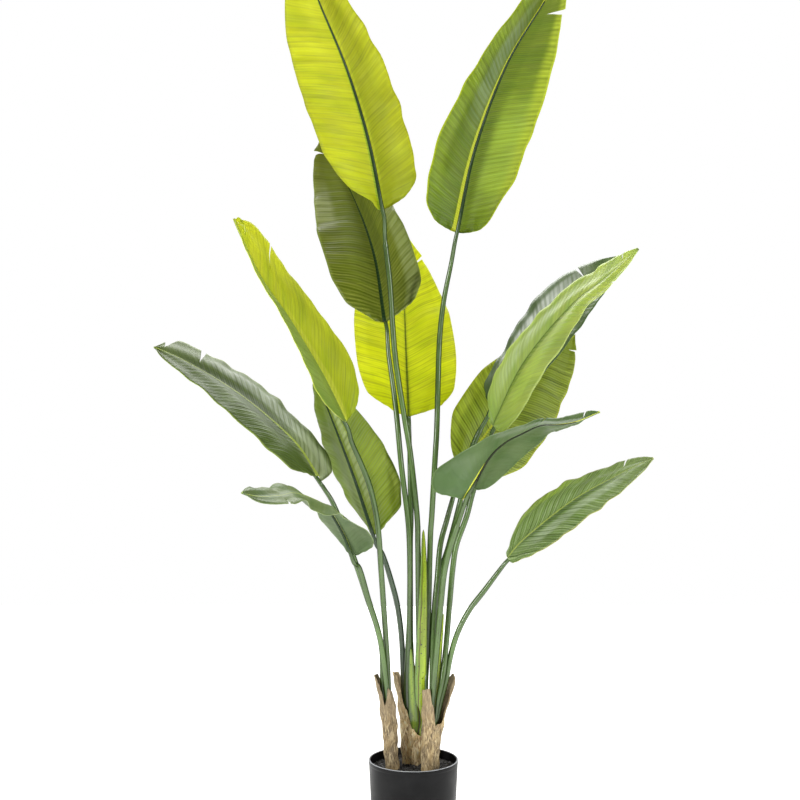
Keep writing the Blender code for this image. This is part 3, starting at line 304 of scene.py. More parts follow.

# Colours and surface of each leaf. Each leaf has colours of its own: its print together with
# painted light and shade, lighter or darker as the light falls on that leaf and on each half.
#   left, right  the halves of the side that faces the front; far is the side behind
#   tip, vein    the tip and the side veins
#   midrib       the midrib's band: printed, except that a dark band on a blade whose wire lies
#                behind it is the painted shadow of the wire seen through the sheet
#   edge         a band along the edge: painted glow of light through the edge where it is
#                paler than the blade, painted shade where it is darker
#   band         the midrib's band: how far it lies off the middle, and its half width
#   rim          how strong the edge's colour is
#   glow         how much light comes through; light is its colour, and left_light that of a
#                left half that differs, as painted shade; ribshade is how much of it the side
#                veins hold back
#   rough, shine roughness and gloss
#   pitch, sweep how close the side veins lie, 1 being as set, and how steeply they slant
#   ribbing      height of the side veins; veining is how strong their colour is
#   uneven       share of irregular side veins among the even ones
#   folds        how strong the painted shade and light across the broad folds are; greener
#                how green patches are
#   painted_sheen_and_shade  paler or darker stripes along the midrib, which are painted sheen
#                and shade: middle and half width as fractions of the half blade, start and
#                end along it, colour and strength
PLAIN_LOOK = {"rim": 0.6, "ribshade": 0.3, "ribbing": 0.4, "uneven": 0.6, "greener": 0.5}
DEEPER_GREEN = "#9fd08c"
LOOKS = {
    "top_left": {
        "slot": "leaf_bright", "left": "#a9af32", "right": "#9ea944", "far": "#7f9a3c",
        "tip": "#b8b942", "vein": "#e2e86a", "midrib": "#4e8a3a", "edge": "#a7b04c",
        "band": (-0.003, 0.005),
        "glow": 0.72, "light": "#e9e543", "ribshade": 0.35, "rough": 0.42, "shine": 0.35,
        "pitch": 0.9, "sweep": 0.1, "ribbing": 0.8, "veining": 0.6, "folds": 0.4,
        "painted_sheen_and_shade": ((0.36, 0.24, 0.05, 0.98, "#8a9338", 0.75),
                  (0.9, 0.34, 0.0, 1.0, "#dfe34e", 0.45),
                  (0.08, 0.06, 0.0, 0.8, "#e6ea60", 0.7),
                  (-0.1, 0.2, 0.0, 0.9, "#a3ab34", 0.35)),
    },
    "top_right": {
        "slot": "leaf_green", "left": "#68801e", "right": "#768922", "far": "#5f7f38",
        "tip": "#67752a", "vein": "#9bb053", "midrib": "#d6dc3e", "edge": "#d9e63c",
        "band": (-0.0066, 0.0082), "rim": 0.9,
        "glow": 0.5, "light": "#b9be23", "ribshade": 0.5, "rough": 0.4, "shine": 0.28,
        "pitch": 1.1, "sweep": 0.15, "ribbing": 0.9, "veining": 0.4, "uneven": 0.35,
        "folds": 0.55,
        "painted_sheen_and_shade": ((-0.34, 0.3, 0.28, 0.85, "#9aab90", 0.6),
                  (-0.95, 0.4, 0.0, 1.0, "#a6bf38", 0.5),
                  (0.14, 0.24, 0.0, 0.95, "#42601a", 0.5),
                  (1.0, 0.34, 0.0, 1.0, "#d0de46", 0.65),
                  (0.55, 0.4, 0.0, 0.55, "#b0cc50", 0.7)),
    },
    "centre_dark": {
        "slot": "leaf_dark", "left": "#4e5a0e", "right": "#4e5a0e", "far": "#5b6e34",
        "tip": "#5a620f", "vein": "#858d35", "midrib": "#1b3314", "edge": "#8a9a4a",
        "band": (0.0, 0.0046),
        "glow": 0.18, "light": "#aab913", "ribshade": 0.9, "rough": 0.4, "shine": 0.2,
        "pitch": 0.65, "sweep": 0.15, "ribbing": 0.9, "veining": 1.5, "uneven": 0.35,
        "folds": 0.4, "greener": 0.2,
        "painted_sheen_and_shade": ((-0.8, 0.34, 0.38, 0.8, "#c8cf9c", 0.42),
                  (-0.35, 0.3, 0.05, 0.9, "#7c8a34", 0.35),
                  (0.85, 0.26, -0.1, 0.5, "#9eaa6c", 0.5),
                  (0.2, 0.2, 0.0, 0.9, "#333d14", 0.45)),
    },
    "centre_bright": {
        "slot": "leaf_bright", "left": "#c8cc2e", "right": "#bcc32e", "far": "#7d933a",
        "tip": "#d7d944", "vein": "#d9de4c", "midrib": "#2f5a2a", "edge": "#d8dc50",
        "band": (0.0, 0.0026),
        "glow": 0.74, "light": "#ffff3c", "ribshade": 0.4, "rough": 0.42, "shine": 0.35,
        "pitch": 0.85, "sweep": 0.1, "veining": 0.7, "folds": 0.35,
        "painted_sheen_and_shade": ((-0.9, 0.18, 0.0, 1.0, "#e6e94c", 0.5),
                  (0.9, 0.18, 0.0, 1.0, "#e6e94c", 0.5)),
    },
    "left_bright": {
        "slot": "leaf_bright", "left": "#8c9e60", "right": "#bfc836", "far": "#6f8448",
        "tip": "#cdcf48", "vein": "#c3ce56", "midrib": "#cdd256", "edge": "#c9d250",
        "band": (0.0, 0.002),
        "glow": 0.6, "light": "#ffff39", "left_light": "#d0e070", "ribshade": 0.35,
        "rough": 0.42, "shine": 0.35,
        "pitch": 0.8, "sweep": 0.5, "ribbing": 0.5, "veining": 0.5, "folds": 0.18,
        "painted_sheen_and_shade": ((0.08, 0.1, -0.3, 0.65, "#dde05e", 0.8),
                  (0.55, 0.25, 0.0, 0.9, "#a2a840", 0.3),
                  (0.95, 0.22, 0.0, 1.0, "#dfe34c", 0.5)),
    },
    "left_low": {
        "slot": "leaf_dark", "left": "#506227", "right": "#5c6d34", "far": "#5f7a44",
        "tip": "#59672d", "vein": "#7f9660", "midrib": "#b5c65a", "edge": "#a5b55a",
        "band": (0.0, 0.0034),
        "glow": 0.22, "light": "#a9b72f", "ribshade": 0.7, "rough": 0.46, "shine": 0.2,
        "pitch": 0.72, "sweep": 0.75, "ribbing": 1.0, "veining": 0.8, "uneven": 0.35,
        "folds": 0.55, "greener": 0.0,
        "painted_sheen_and_shade": ((0.55, 0.26, -0.15, 0.8, "#e4eadf", 0.5),
                  (0.14, 0.16, 0.2, 0.95, "#3c4d26", 0.6),
                  (-0.5, 0.25, 0.1, 0.7, "#9fb07c", 0.25),
                  (0.4, 0.7, -0.3, 0.28, "#b4c094", 0.85)),
    },
    "left_inner": {
        "slot": "leaf_green", "left": "#4f6414", "right": "#738317", "far": "#5a7434",
        "tip": "#778b23", "vein": "#9aab52", "midrib": "#cfd640", "edge": "#7f9440",
        "band": (-0.004, 0.0042),
        "glow": 0.3, "light": "#c3d71a", "ribshade": 0.8, "rough": 0.4, "shine": 0.26,
        "pitch": 0.8, "sweep": 0.35, "ribbing": 1.3, "veining": 1.35, "uneven": 0.2,
        "folds": 0.55,
        "painted_sheen_and_shade": ((0.17, 0.11, 0.08, 0.9, "#bcc894", 0.65),
                  (0.65, 0.3, 0.0, 0.65, "#9db03e", 0.4),
                  (-0.5, 0.4, 0.0, 1.0, "#4b5f24", 0.3),
                  (0.92, 0.12, 0.0, 0.4, "#cfdc6c", 0.6)),
    },
    "left_arching": {
        "slot": "leaf_grey", "left": "#53643e", "right": "#576840", "far": "#77894e",
        "tip": "#607046", "vein": "#869870", "midrib": "#a8bb50", "edge": "#93a46c",
        "band": (-0.003, 0.004),
        "glow": 0.12, "light": "#8d9b3e", "rough": 0.5, "shine": 0.4,
        "pitch": 1.0, "sweep": 0.3, "veining": 0.3, "folds": 0.1,
        "painted_sheen_and_shade": (),
    },
    "right_front": {
        "slot": "leaf_green", "left": "#9eb261", "right": "#9dab56", "far": "#6c8a3c",
        "tip": "#c8d26d", "vein": "#a9bd74", "midrib": "#3f6030", "edge": "#c6d67a",
        "band": (0.0, 0.002),
        "glow": 0.4, "light": "#eff74e", "ribshade": 0.35, "rough": 0.38, "shine": 0.4,
        "pitch": 0.85, "sweep": 0.7, "ribbing": 0.8, "veining": 0.95, "folds": 0.35,
        "painted_sheen_and_shade": ((-0.52, 0.3, 0.05, 0.95, "#cad8b0", 0.6),
                  (0.5, 0.3, 0.0, 0.85, "#aac65a", 0.45),
                  (0.06, 0.1, 0.0, 1.0, "#4c6a2c", 0.7),
                  (-0.93, 0.1, 0.0, 1.0, "#c4d870", 0.6)),
    },
    "right_behind": {
        "slot": "leaf_dark", "left": "#5c6f46", "right": "#57693f", "far": "#5f7a44",
        "tip": "#66774b", "vein": "#7b8f68", "midrib": "#3c5c34", "edge": "#3f5a30",
        "band": (0.0, 0.002),
        "glow": 0.18, "light": "#b3c749", "rough": 0.36, "shine": 0.4,
        "pitch": 0.85, "sweep": 0.6, "ribbing": 0.9, "veining": 0.6, "uneven": 0.9,
        "folds": 0.25,
        "painted_sheen_and_shade": ((-0.62, 0.22, 0.05, 0.9, "#dfe4da", 0.7),
                  (-0.12, 0.1, 0.35, 0.95, "#9fb0a8", 0.5)),
    },
    "right_broad": {
        "slot": "leaf_green", "left": "#7d9242", "right": "#8f9d5f", "far": "#6f8236",
        "tip": "#89994a", "vein": "#4f5e1c", "midrib": "#b9be34", "edge": "#ccd246",
        "band": (0.0, 0.003),
        "glow": 0.5, "light": "#eef637", "ribshade": 0.6, "rough": 0.42, "shine": 0.35,
        "pitch": 0.85, "sweep": 0.2, "ribbing": 1.3, "veining": 1.5, "uneven": 0.5,
        "folds": 0.5,
        "painted_sheen_and_shade": ((-0.88, 0.2, 0.0, 1.0, "#bccc4c", 0.6),
                  (0.5, 0.35, 0.3, 1.0, "#5b6d40", 0.55)),
    },
    "right_drooping": {
        "slot": "leaf_grey", "left": "#61774a", "right": "#586b3e", "far": "#6f8a44",
        "tip": "#5d7341", "vein": "#6f8a5c", "midrib": "#dbe14a", "edge": "#86a066",
        "band": (-0.0034, 0.0024),
        "glow": 0.1, "light": "#91a343", "rough": 0.5, "shine": 0.35,
        "pitch": 1.0, "sweep": 0.3, "veining": 0.25, "folds": 0.08,
        "painted_sheen_and_shade": (),
    },
    "right_low": {
        "slot": "leaf_dark", "left": "#5a752e", "right": "#506a30", "far": "#5a7640",
        "tip": "#6b7b41", "vein": "#afc488", "midrib": "#a6b45a", "edge": "#b0a95a",
        "band": (0.0, 0.0026),
        "glow": 0.22, "light": "#ccd43b", "ribshade": 0.7, "rough": 0.38, "shine": 0.3,
        "pitch": 0.6, "sweep": 1.0, "ribbing": 1.5, "veining": 1.3, "uneven": 0.5,
        "folds": 0.75, "greener": 0.2,
        "painted_sheen_and_shade": ((0.42, 0.24, 0.08, 0.9, "#cfd9c6", 0.35),
                  (-0.88, 0.22, 0.0, 0.6, "#a6bf46", 0.6),
                  (0.1, 0.1, 0.0, 0.9, "#30482a", 0.55)),
    },
}

# Young shoots and split sheaths between the stems: foot, half the greatest width and
# thickness, and way up. They are wider here than their solids, as the real ones are.
SHOOTS = {
    "shoot_tall": {
        "trunk": "trunk_middle", "foot": (0.0125, 0.024), "size": (0.013, 0.0022),
        "path": ((0.013, 0.0205, 0.232), (0.0145, 0.008, 0.29), (0.0162, -0.003, 0.386),
                 (0.0188, -0.006, 0.467), (0.0205, -0.006, 0.548), (0.0198, -0.004, 0.628)),
    },
    "sheath_middle": {
        "trunk": "trunk_middle", "foot": (0.0, 0.0205), "size": (0.0118, 0.0018),
        "path": ((0.002, 0.0175, 0.222), (0.0015, 0.0122, 0.255), (-0.0022, 0.0082, 0.325),
                 (-0.0045, 0.0075, 0.386)),
    },
    "sheath_right": {
        "trunk": "trunk_right", "foot": (0.0365, -0.019), "size": (0.005, 0.0016),
        "path": ((0.0395, -0.018, 0.25), (0.044, -0.0165, 0.3), (0.05, -0.0155, 0.35),
                 (0.0545, -0.015, 0.4), (0.06, -0.015, 0.462)),
    },
}


def linear(code):
    """A hex colour, as on screen, turned to the linear values that Blender's sockets take."""
    channels = [int(code[i:i + 2], 16) / 255 for i in (1, 3, 5)]
    return tuple(c / 12.92 if c <= 0.04045 else ((c + 0.055) / 1.055) ** 2.4
                 for c in channels) + (1.0,)


def size_property(name, description, default):
    """A length in the sidebar."""
    return bpy.props.FloatProperty(name=name, description=description, default=default,
                                   min=0.0, precision=5, subtype="DISTANCE", unit="LENGTH")


def colour_property(name, description, code):
    """A colour in the sidebar."""
    return bpy.props.FloatVectorProperty(name=name, description=description, size=4,
                                         default=linear(code), min=0.0, max=1.0,
                                         subtype="COLOR")


class PotSettings(bpy.types.PropertyGroup):
    """The plain black tub."""
    height: size_property("Height", "From the floor to the rim", 0.165)
    rim_radius: size_property("Rim radius", "Outside radius at the rim", 0.090)
    foot_radius: size_property("Foot radius", "Outside radius at the floor", 0.082)
    wall: size_property("Wall", "Thickness of the wall", 0.003)
    colour: colour_property("Plastic", "Colour of the moulded plastic", "#0d0d0e")


class FillingSettings(bpy.types.PropertyGroup):
    """The black granules in the pot."""
    top: size_property("Top", "Height of the filling's top", 0.147)
    grain: size_property("Grain", "Size of the larger granules", 0.0034)
    colour: colour_property("Granules", "Colour of the granules", "#161514")


class BarkSettings(bpy.types.PropertyGroup):
    """The moulded bark pieces round the feet of the stems."""
    relief: size_property("Relief", "Height of the bark's fibres", 0.0006)
    light: colour_property("Light bark", "Colour of the raised fibres", "#ad9a76")
    dark: colour_property("Dark bark", "Colour between the fibres", "#76654a")


class StemSettings(bpy.types.PropertyGroup):
    """The smooth stems and the wires under the blades."""
    flute: size_property("Flute", "Depth of the lengthwise flutes", 0.00010)
    colour: colour_property("Skin", "Colour of the stems", "#536e36")
    # Dark skin is painted shade: it darkens the flutes and the stems' outlines.
    dark: colour_property("Dark skin", "Colour in the flutes", "#1c2812")
    rib: colour_property("Rib", "Colour of the wires under the blades", "#1d3517")
    shoot: colour_property("Shoot", "Colour of the young shoots", "#8aa61c")


class LeafSettings(bpy.types.PropertyGroup):
    """The moulded blades."""
    thickness: size_property("Thickness", "Thickness of a blade", 0.0008)
    vein_pitch: size_property("Vein pitch", "Distance between fine side veins", 0.0050)
    fold_pitch: size_property("Fold pitch", "Distance between broad side veins", 0.0115)
    relief: size_property("Relief", "Height of the side veins", 0.00035)


class StageSettings(bpy.types.PropertyGroup):
    """Floor and camera."""
    floor: colour_property("Floor", "Colour of the floor", "#f7f7f5")
    lens: bpy.props.FloatProperty(name="Lens", description="Focal length of the camera",
                                  default=67.5, min=1.0, subtype="DISTANCE_CAMERA",
                                  unit="CAMERA")


def new_material(name):
    """A material with an empty node tree."""
    material = bpy.data.materials.new(name)
    material.use_nodes = True
    tree = material.node_tree
    tree.nodes.clear()
    return material, tree


def add(tree, kind, inputs=(), stops=(), **settings):
    """A node with its settings and links.

    What feeds its sockets is given in their order, or by name: a value, a socket or a
    node, which gives its first output. stops are the places and colours of a colour ramp.
    """
    made = tree.nodes.new("ShaderNode" + kind)
    for key, value in settings.items():
        setattr(made, key, value)
    usable = [socket for socket in made.inputs if socket.enabled]
    fed = zip(usable, inputs)
    if isinstance(inputs, dict):
        fed = [(next(socket for socket in usable if socket.name == key), value)
               for key, value in inputs.items()]
    for socket, value in fed:
        if isinstance(value, bpy.types.Node):
            value = next(output for output in value.outputs if output.enabled)
        if isinstance(value, bpy.types.NodeSocket):
            tree.links.new(value, socket)
        else:
            socket.default_value = value
    if stops:
        elements = made.color_ramp.elements
        while len(elements) < len(stops):
            elements.new(1.0)
        for element, (place, colour) in zip(elements, stops):
            element.position = place
            element.color = colour
    return made


def stretched(tree, vector, scale, size, **settings):
    """Noise whose features are size metres wide, after the vector is stretched."""
    mapped = add(tree, "Mapping", {"Vector": vector, "Scale": scale})
    return add(tree, "TexNoise",
               {"Vector": mapped, "Scale": 1 / size, **settings}).outputs["Fac"]


def leaf_plastic(name, look, near, sizes):
    """Polyethylene sheet, pressed over a veined mould and printed.

    It gives the eye a satin skin that is broken up by fine side veins, soft changes of green
    along and across the blade, painted sheen and shade, and light that shines through the
    thin sheet.
    """
    material, tree = new_material(name)
    veins = add(tree, "UVMap", uv_map="veins")
    lateral = add(tree, "SeparateXYZ", (veins,)).outputs[0]
    place = add(tree, "SeparateXYZ", (add(tree, "UVMap", uv_map="place"),))
    across, reach = place.outputs[0], place.outputs[1]

    # Side veins: lines 5 mm apart with broader folds about 11 mm apart, both bending a
    # little, irregular lines and swellings among them, and a finer grain in between. The
    # real fine veins lie 1 to 2 mm apart, less than a pixel of the render, so they are
    # drawn coarser.
    drawn = add(tree, "Mapping", {"Vector": veins, "Scale": (0.10, 1.0, 1.0)})
    fine, broad = (
        add(tree, "TexWave", {"Vector": drawn, "Scale": 2 * math.pi / (20 * pitch),
                              "Distortion": bend, "Detail": 1.0, "Detail Scale": detail},
            bands_direction="Y").outputs["Fac"]
        for pitch, bend, detail in ((sizes.vein_pitch, 0.7, 0.6),
                                    (sizes.fold_pitch, 1.8, 0.7)))
    grain = stretched(tree, veins, (0.05, 1.0, 1.0), 0.0022, Detail=2.0)
    patch = stretched(tree, veins, (0.7, 0.45, 1.0), 0.045, Detail=3.0)
    bands = stretched(tree, veins, (0.13, 1.0, 1.0), 0.0135, Detail=2.0)
    lines = stretched(tree, veins, (0.04, 1.0, 1.0), 0.0062, Detail=3.0, Roughness=0.6)
    lines = add(tree, "MapRange", (lines, 0.40, 0.66), interpolation_type="SMOOTHSTEP")
    sharp = add(tree, "Math", (fine, 2.0), operation="POWER")
    sharp = add(tree, "Mix", (look["uneven"], sharp, lines))
    calm = add(tree, "MapRange", (reach, 0.62, 0.92, 0.0, 0.8))
    sharp = add(tree, "Mix", (calm, sharp, 0.4))
    height = add(tree, "Math", (sharp, broad), operation="ADD")
    height = add(tree, "Math", (grain, 0.3, height), operation="MULTIPLY_ADD")
    height = add(tree, "Math", (bands, 2.4, height), operation="MULTIPLY_ADD")

    # Colour: the two halves and the tip, whose colours hold painted light and shade, lighter
    # and greener patches, painted shade and light across the broad folds, and the veins.
    halves = add(tree, "MapRange", (across, 0.48, 0.52))
    left, right = (linear(look[key]) for key in (("left", "right") if near
                                                 else ("far", "far")))
    colour = add(tree, "Mix", (halves, left, right), data_type="RGBA")
    at_tip = add(tree, "MapRange", (reach, 0.45, 1.0, 0.0, 0.8))
    colour = add(tree, "Mix", (at_tip, colour, linear(look["tip"])), data_type="RGBA")
    tone = add(tree, "MapRange", (patch, 0.3, 0.7, 0.84, 1.14))
    colour = add(tree, "VectorMath", (colour, tone), operation="SCALE")
    hue = stretched(tree, veins, (0.35, 1.0, 1.0), 0.05, Detail=4.0, Roughness=0.6)
    hue = add(tree, "MapRange", (hue, 0.42, 0.66, 0.0, look["greener"]),
              interpolation_type="SMOOTHSTEP")
    at_neck = add(tree, "MapRange", (reach, 0.16, 0.0, 0.0, look["greener"]),
                  interpolation_type="SMOOTHSTEP")
    hue = add(tree, "Math", (hue, at_neck), operation="MAXIMUM")
    greener = add(tree, "Mix", (1.0, colour, linear(DEEPER_GREEN)), data_type="RGBA",
                  blend_type="MULTIPLY")
    colour = add(tree, "Mix", (hue, colour, greener), data_type="RGBA")
    # Painted shade and light: darker in the hollows between the broad folds, lighter on them.
    swell = add(tree, "MapRange", (bands, 0.3, 0.7))
    swell = add(tree, "Mix", (0.3, swell, broad))
    depth = 0.5 * look["folds"]
    tone = add(tree, "MapRange", (swell, 0.0, 1.0, 1.0 - depth, 1.0 + depth))
    colour = add(tree, "VectorMath", (colour, tone), operation="SCALE")
    inked = add(tree, "MapRange", (grain, 0.3, 0.7, 0.35, 0.75))
    inked = add(tree, "Math", (sharp, inked), operation="MULTIPLY")
    inked = add(tree, "Math", (inked, look["veining"]), operation="MULTIPLY")
    colour = add(tree, "Mix", (inked, colour, linear(look["vein"])), data_type="RGBA")

    # Painted sheen and shade: paler and darker stripes along the midrib, broken up by the
    # relief.
    stripes = look["painted_sheen_and_shade"] if near else ()
    if stripes:
        broken = add(tree, "MapRange", (height, 1.3, 2.7, 0.3, 1.0))
    for middle, half, start, end, tint, amount in stripes:
        inside = add(tree, "Math", (across, 0.5 + middle / 2), operation="SUBTRACT")
        inside = add(tree, "Math", (inside,), operation="ABSOLUTE")
        inside = add(tree, "MapRange", (inside, half / 2, half / 5, 0.0, amount),
                     interpolation_type="SMOOTHSTEP")
        for low, high in ((start, start + 0.2), (end, end - 0.2)):
            within = add(tree, "MapRange", (reach, low, high, 0.0, 1.0),
                         interpolation_type="SMOOTHSTEP")
            inside = add(tree, "Math", (inside, within), operation="MULTIPLY")
        inside = add(tree, "Math", (inside, broken), operation="MULTIPLY")
        colour = add(tree, "Mix", (inside, colour, linear(tint)), data_type="RGBA")

    # The midrib's band, which narrows towards the tip, and the edge. The band is printed,
    # except that a dark band on a blade whose wire lies behind it is the painted shadow of the
    # wire seen through the sheet.
    centre, wide = look["band"] if near else (0.0, 0.0036)
    off_rib = add(tree, "MapRange", (reach, 0.0, 0.6, centre, centre * 0.2))
    off_rib = add(tree, "Math", (lateral, off_rib), operation="SUBTRACT")
    off_rib = add(tree, "Math", (off_rib,), operation="ABSOLUTE")
    rib_edge = add(tree, "MapRange", (reach, 0.0, 0.7, wide, wide * 0.28))
    on_rib = add(tree, "Math", (off_rib, rib_edge), operation="LESS_THAN")
    colour = add(tree, "Mix", (on_rib, colour, linear(look["midrib"])), data_type="RGBA")
    # The edge band is painted glow of light through the edge where it is paler than the blade,
    # and painted shade where it is darker.
    at_edge = add(tree, "Math", (across, 0.5), operation="SUBTRACT")
    at_edge = add(tree, "Math", (at_edge,), operation="ABSOLUTE")
    at_edge = add(tree, "MapRange", (at_edge, 0.474, 0.497, 0.0, look["rim"]))
    colour = add(tree, "Mix", (at_edge, colour, linear(look["edge"])), data_type="RGBA")

    # Seen almost edge on, the relief is too fine for the picture and would only sparkle.
    ribbing = add(tree, "MapRange", (reach, 0.60, 0.92, look["ribbing"],
                                     look["ribbing"] * 0.12))
    facing = add(tree, "LayerWeight", {"Blend": 0.5}).outputs["Facing"]
    level = add(tree, "MapRange", (facing, 0.45, 0.78, 1.0, 0.03),
                interpolation_type="SMOOTHSTEP")
    ribbing = add(tree, "Math", (ribbing, level), operation="MULTIPLY")
    bump = add(tree, "Bump", {"Height": height, "Distance": sizes.relief,
                              "Strength": ribbing})
    skin = add(tree, "BsdfPrincipled",
               {"Base Color": colour, "Roughness": look["rough"], "IOR": 1.45,
                "Specular IOR Level": look["shine"], "Normal": bump})

    # Light through the sheet: yellower than its print, and held back by the side veins.
    light = linear(look["light"])
    if "left_light" in look:
        light = add(tree, "Mix", (halves, linear(look["left_light"]), light),
                    data_type="RGBA")
    through = add(tree, "Mix", (0.55, colour, light), data_type="RGBA")
    thin = add(tree, "MapRange", (sharp, 0.2, 0.9, 1.12, 1.12 - look["ribshade"]))
    through = add(tree, "VectorMath", (through, thin), operation="SCALE")
    glow = add(tree, "BsdfTranslucent", {"Color": through, "Normal": bump})
    add(tree, "OutputMaterial", (add(tree, "MixShader", (look["glow"], skin, glow)),))
    return material


def edge_plastic(name, look):
    """The cut edge of the polyethylene sheet: paler than its faces, and dull."""
    material, tree = new_material(name)
    # Noise without a vector spans the blade, so this makes flecks about 3 mm long.
    speck = add(tree, "TexNoise", {"Scale": 160.0, "Detail": 1.0}).outputs["Fac"]
    # The cut edge takes the colours of the edge band and veins; the edge band's colour holds
    # painted glow and shade.
    colour = add(tree, "Mix", (speck, linear(look["edge"]), linear(look["vein"])),
                 data_type="RGBA")
    skin = add(tree, "BsdfPrincipled", {"Base Color": colour, "Roughness": 0.6})
    add(tree, "OutputMaterial", (skin,))
    return material


def stem_plastic(name, sizes, light, dark, speckles, rib=None, stripes=None):
    """PVC skin drawn over steel wire: satin, with lengthwise flutes and small dark specks.

    The flutes carry painted shade and light: thin dark and light lines along the stem, and
    the outline darkens as painted shade too. The specks give the look of a living stalk. rib
    is the colour that it takes on under the blade, and stripes are the colours round a shoot.
    """
    material, tree = new_material(name)
    # The real flutes are under 1 mm wide and wouldn't show, so they are drawn at 2.2 mm.
    place = add(tree, "UVMap", uv_map="skin")
    lines = stretched(tree, place, (1.0, 0.02, 1.0), 0.0022, Detail=2.0)
    patch = stretched(tree, place, (1.0, 0.4, 1.0), 0.02, Detail=3.0)
    if stripes:
        around = add(tree, "SeparateXYZ", (place,))
        around = add(tree, "Math", (around, 1 / SKIN_GIRTH), operation="MULTIPLY")
        wander = add(tree, "Math", (patch, 0.10, around), operation="MULTIPLY_ADD")
        light = add(tree, "ValToRGB", (wander,), stops=stripes)
    # Painted shade in the flutes, painted light on the ridges between them.
    shade = add(tree, "MapRange", (lines, 0.25, 0.55, 0.45, 1.0))
    colour = add(tree, "Mix", (shade, dark, light), data_type="RGBA")
    tone = add(tree, "MapRange", (patch, 0.3, 0.7, 0.82, 1.18))
    colour = add(tree, "VectorMath", (colour, tone), operation="SCALE")
    # Specks 1 to 2 mm long: only the tops of the noise are taken.
    spots = stretched(tree, place, (1.0, 0.5, 1.0), 0.0022, Detail=1.0)
    spotted = add(tree, "MapRange", (spots, 0.66, 0.72, 0.0, speckles))
    colour = add(tree, "Mix", (spotted, colour, linear("#3a3420")), data_type="RGBA")
    facing = add(tree, "LayerWeight", {"Blend": 0.5}).outputs["Facing"]
    gloss = add(tree, "MapRange", (facing, 0.3, 0.8, 0.65, 0.02))
    if rib:
        # Painted shade darkens it near the foot and towards the neck, and painted light makes
        # its middle a little lighter; it is dull where the wire lies under the blade.
        reach = add(tree, "SeparateXYZ", (add(tree, "UVMap", uv_map="reach"),))
        at_rib = add(tree, "MapRange", (reach, 0.96, 1.08, 0.0, 0.9))
        colour = add(tree, "Mix", (at_rib, colour, rib), data_type="RGBA")
        for span in ((0.20, 0.50, 0.68, 1.12), (0.55, 0.95, 1.0, 0.65)):
            tone = add(tree, "MapRange", (reach,) + span)
            colour = add(tree, "VectorMath", (colour, tone), operation="SCALE")
        dulled = add(tree, "MapRange", (at_rib, 0.0, 0.9, 1.0, 0.35))
        gloss = add(tree, "Math", (gloss, dulled), operation="MULTIPLY")
    # Painted shade: the stem darkens towards its outline, where it also turns dull.
    shaded = add(tree, "MapRange", (facing, 0.35, 0.82, 0.0, 0.9),
                 interpolation_type="SMOOTHSTEP")
    colour = add(tree, "Mix", (shaded, colour, dark), data_type="RGBA")
    bump = add(tree, "Bump", {"Height": lines, "Distance": sizes.flute})
    skin = add(tree, "BsdfPrincipled", {"Base Color": colour, "Roughness": 0.17, "IOR": 1.52,
                                        "Specular IOR Level": gloss, "Normal": bump})
    dull = add(tree, "BsdfDiffuse", {"Color": colour, "Roughness": 0.4})
    add(tree, "OutputMaterial", (add(tree, "MixShader", (shaded, skin, dull)),))
    return material


def bark_plastic(name, sizes, tone):
    """Polyethylene moulded from real bark and dry-brushed: matt, tan on the raised fibres
    and dark brown between them, with a golden tint where the brush lay on thickest."""
    material, tree = new_material(name)
    # Fibres 1.7 mm wide and ten times as long, cracks 4.5 mm wide, and patches of 16 mm.
    place = add(tree, "UVMap", uv_map="skin")
    height = add(tree, "SeparateXYZ", (place,)).outputs[1]
    fibres = stretched(tree, place, (1.0, 0.09, 1.0), 0.0017, Detail=4.0, Distortion=1.0)
    cracks = stretched(tree, place, (1.0, 0.34, 1.0), 0.0045, Detail=7.0, Roughness=0.68,
                       Distortion=1.0)
    patch = stretched(tree, place, (1.0, 0.6, 1.0), 0.016, Detail=3.0)
    relief = add(tree, "Math", (fibres, 0.55, cracks), operation="MULTIPLY_ADD")
    colour = add(tree, "ValToRGB", (relief,), stops=(
        (0.56, linear("#3c3122")), (0.72, tuple(sizes.dark)), (0.84, tuple(sizes.light)),
        (0.96, linear("#d8c69a"))))
    gold = add(tree, "MapRange", (patch, 0.42, 0.66, 0.0, 0.5))
    colour = add(tree, "Mix", (gold, colour, linear("#a98e5c")), data_type="RGBA")
    smooth = add(tree, "Mix", (fibres, linear("#61523b"), linear("#b5a27f")),
                 data_type="RGBA")
    # The upper ends, from 235 mm up, are smoother and more even than the rest.
    upper = add(tree, "MapRange", (height, 0.235, 0.285, 0.0, 0.7),
                interpolation_type="SMOOTHSTEP")
    colour = add(tree, "Mix", (upper, colour, smooth), data_type="RGBA")
    # Painted light and shade: the piece's tone makes all its colours lighter or darker.
    colour = add(tree, "VectorMath", (colour, tone), operation="SCALE")
    colour = add(tree, "VectorMath", (colour, (0.80, 0.72, 0.55)), operation="MINIMUM")
    bump = add(tree, "Bump", {"Height": relief, "Distance": sizes.relief * 2.5})
    skin = add(tree, "BsdfPrincipled", {"Base Color": colour, "Roughness": 0.72,
                                        "Normal": bump})
    add(tree, "OutputMaterial", (skin,))
    return material


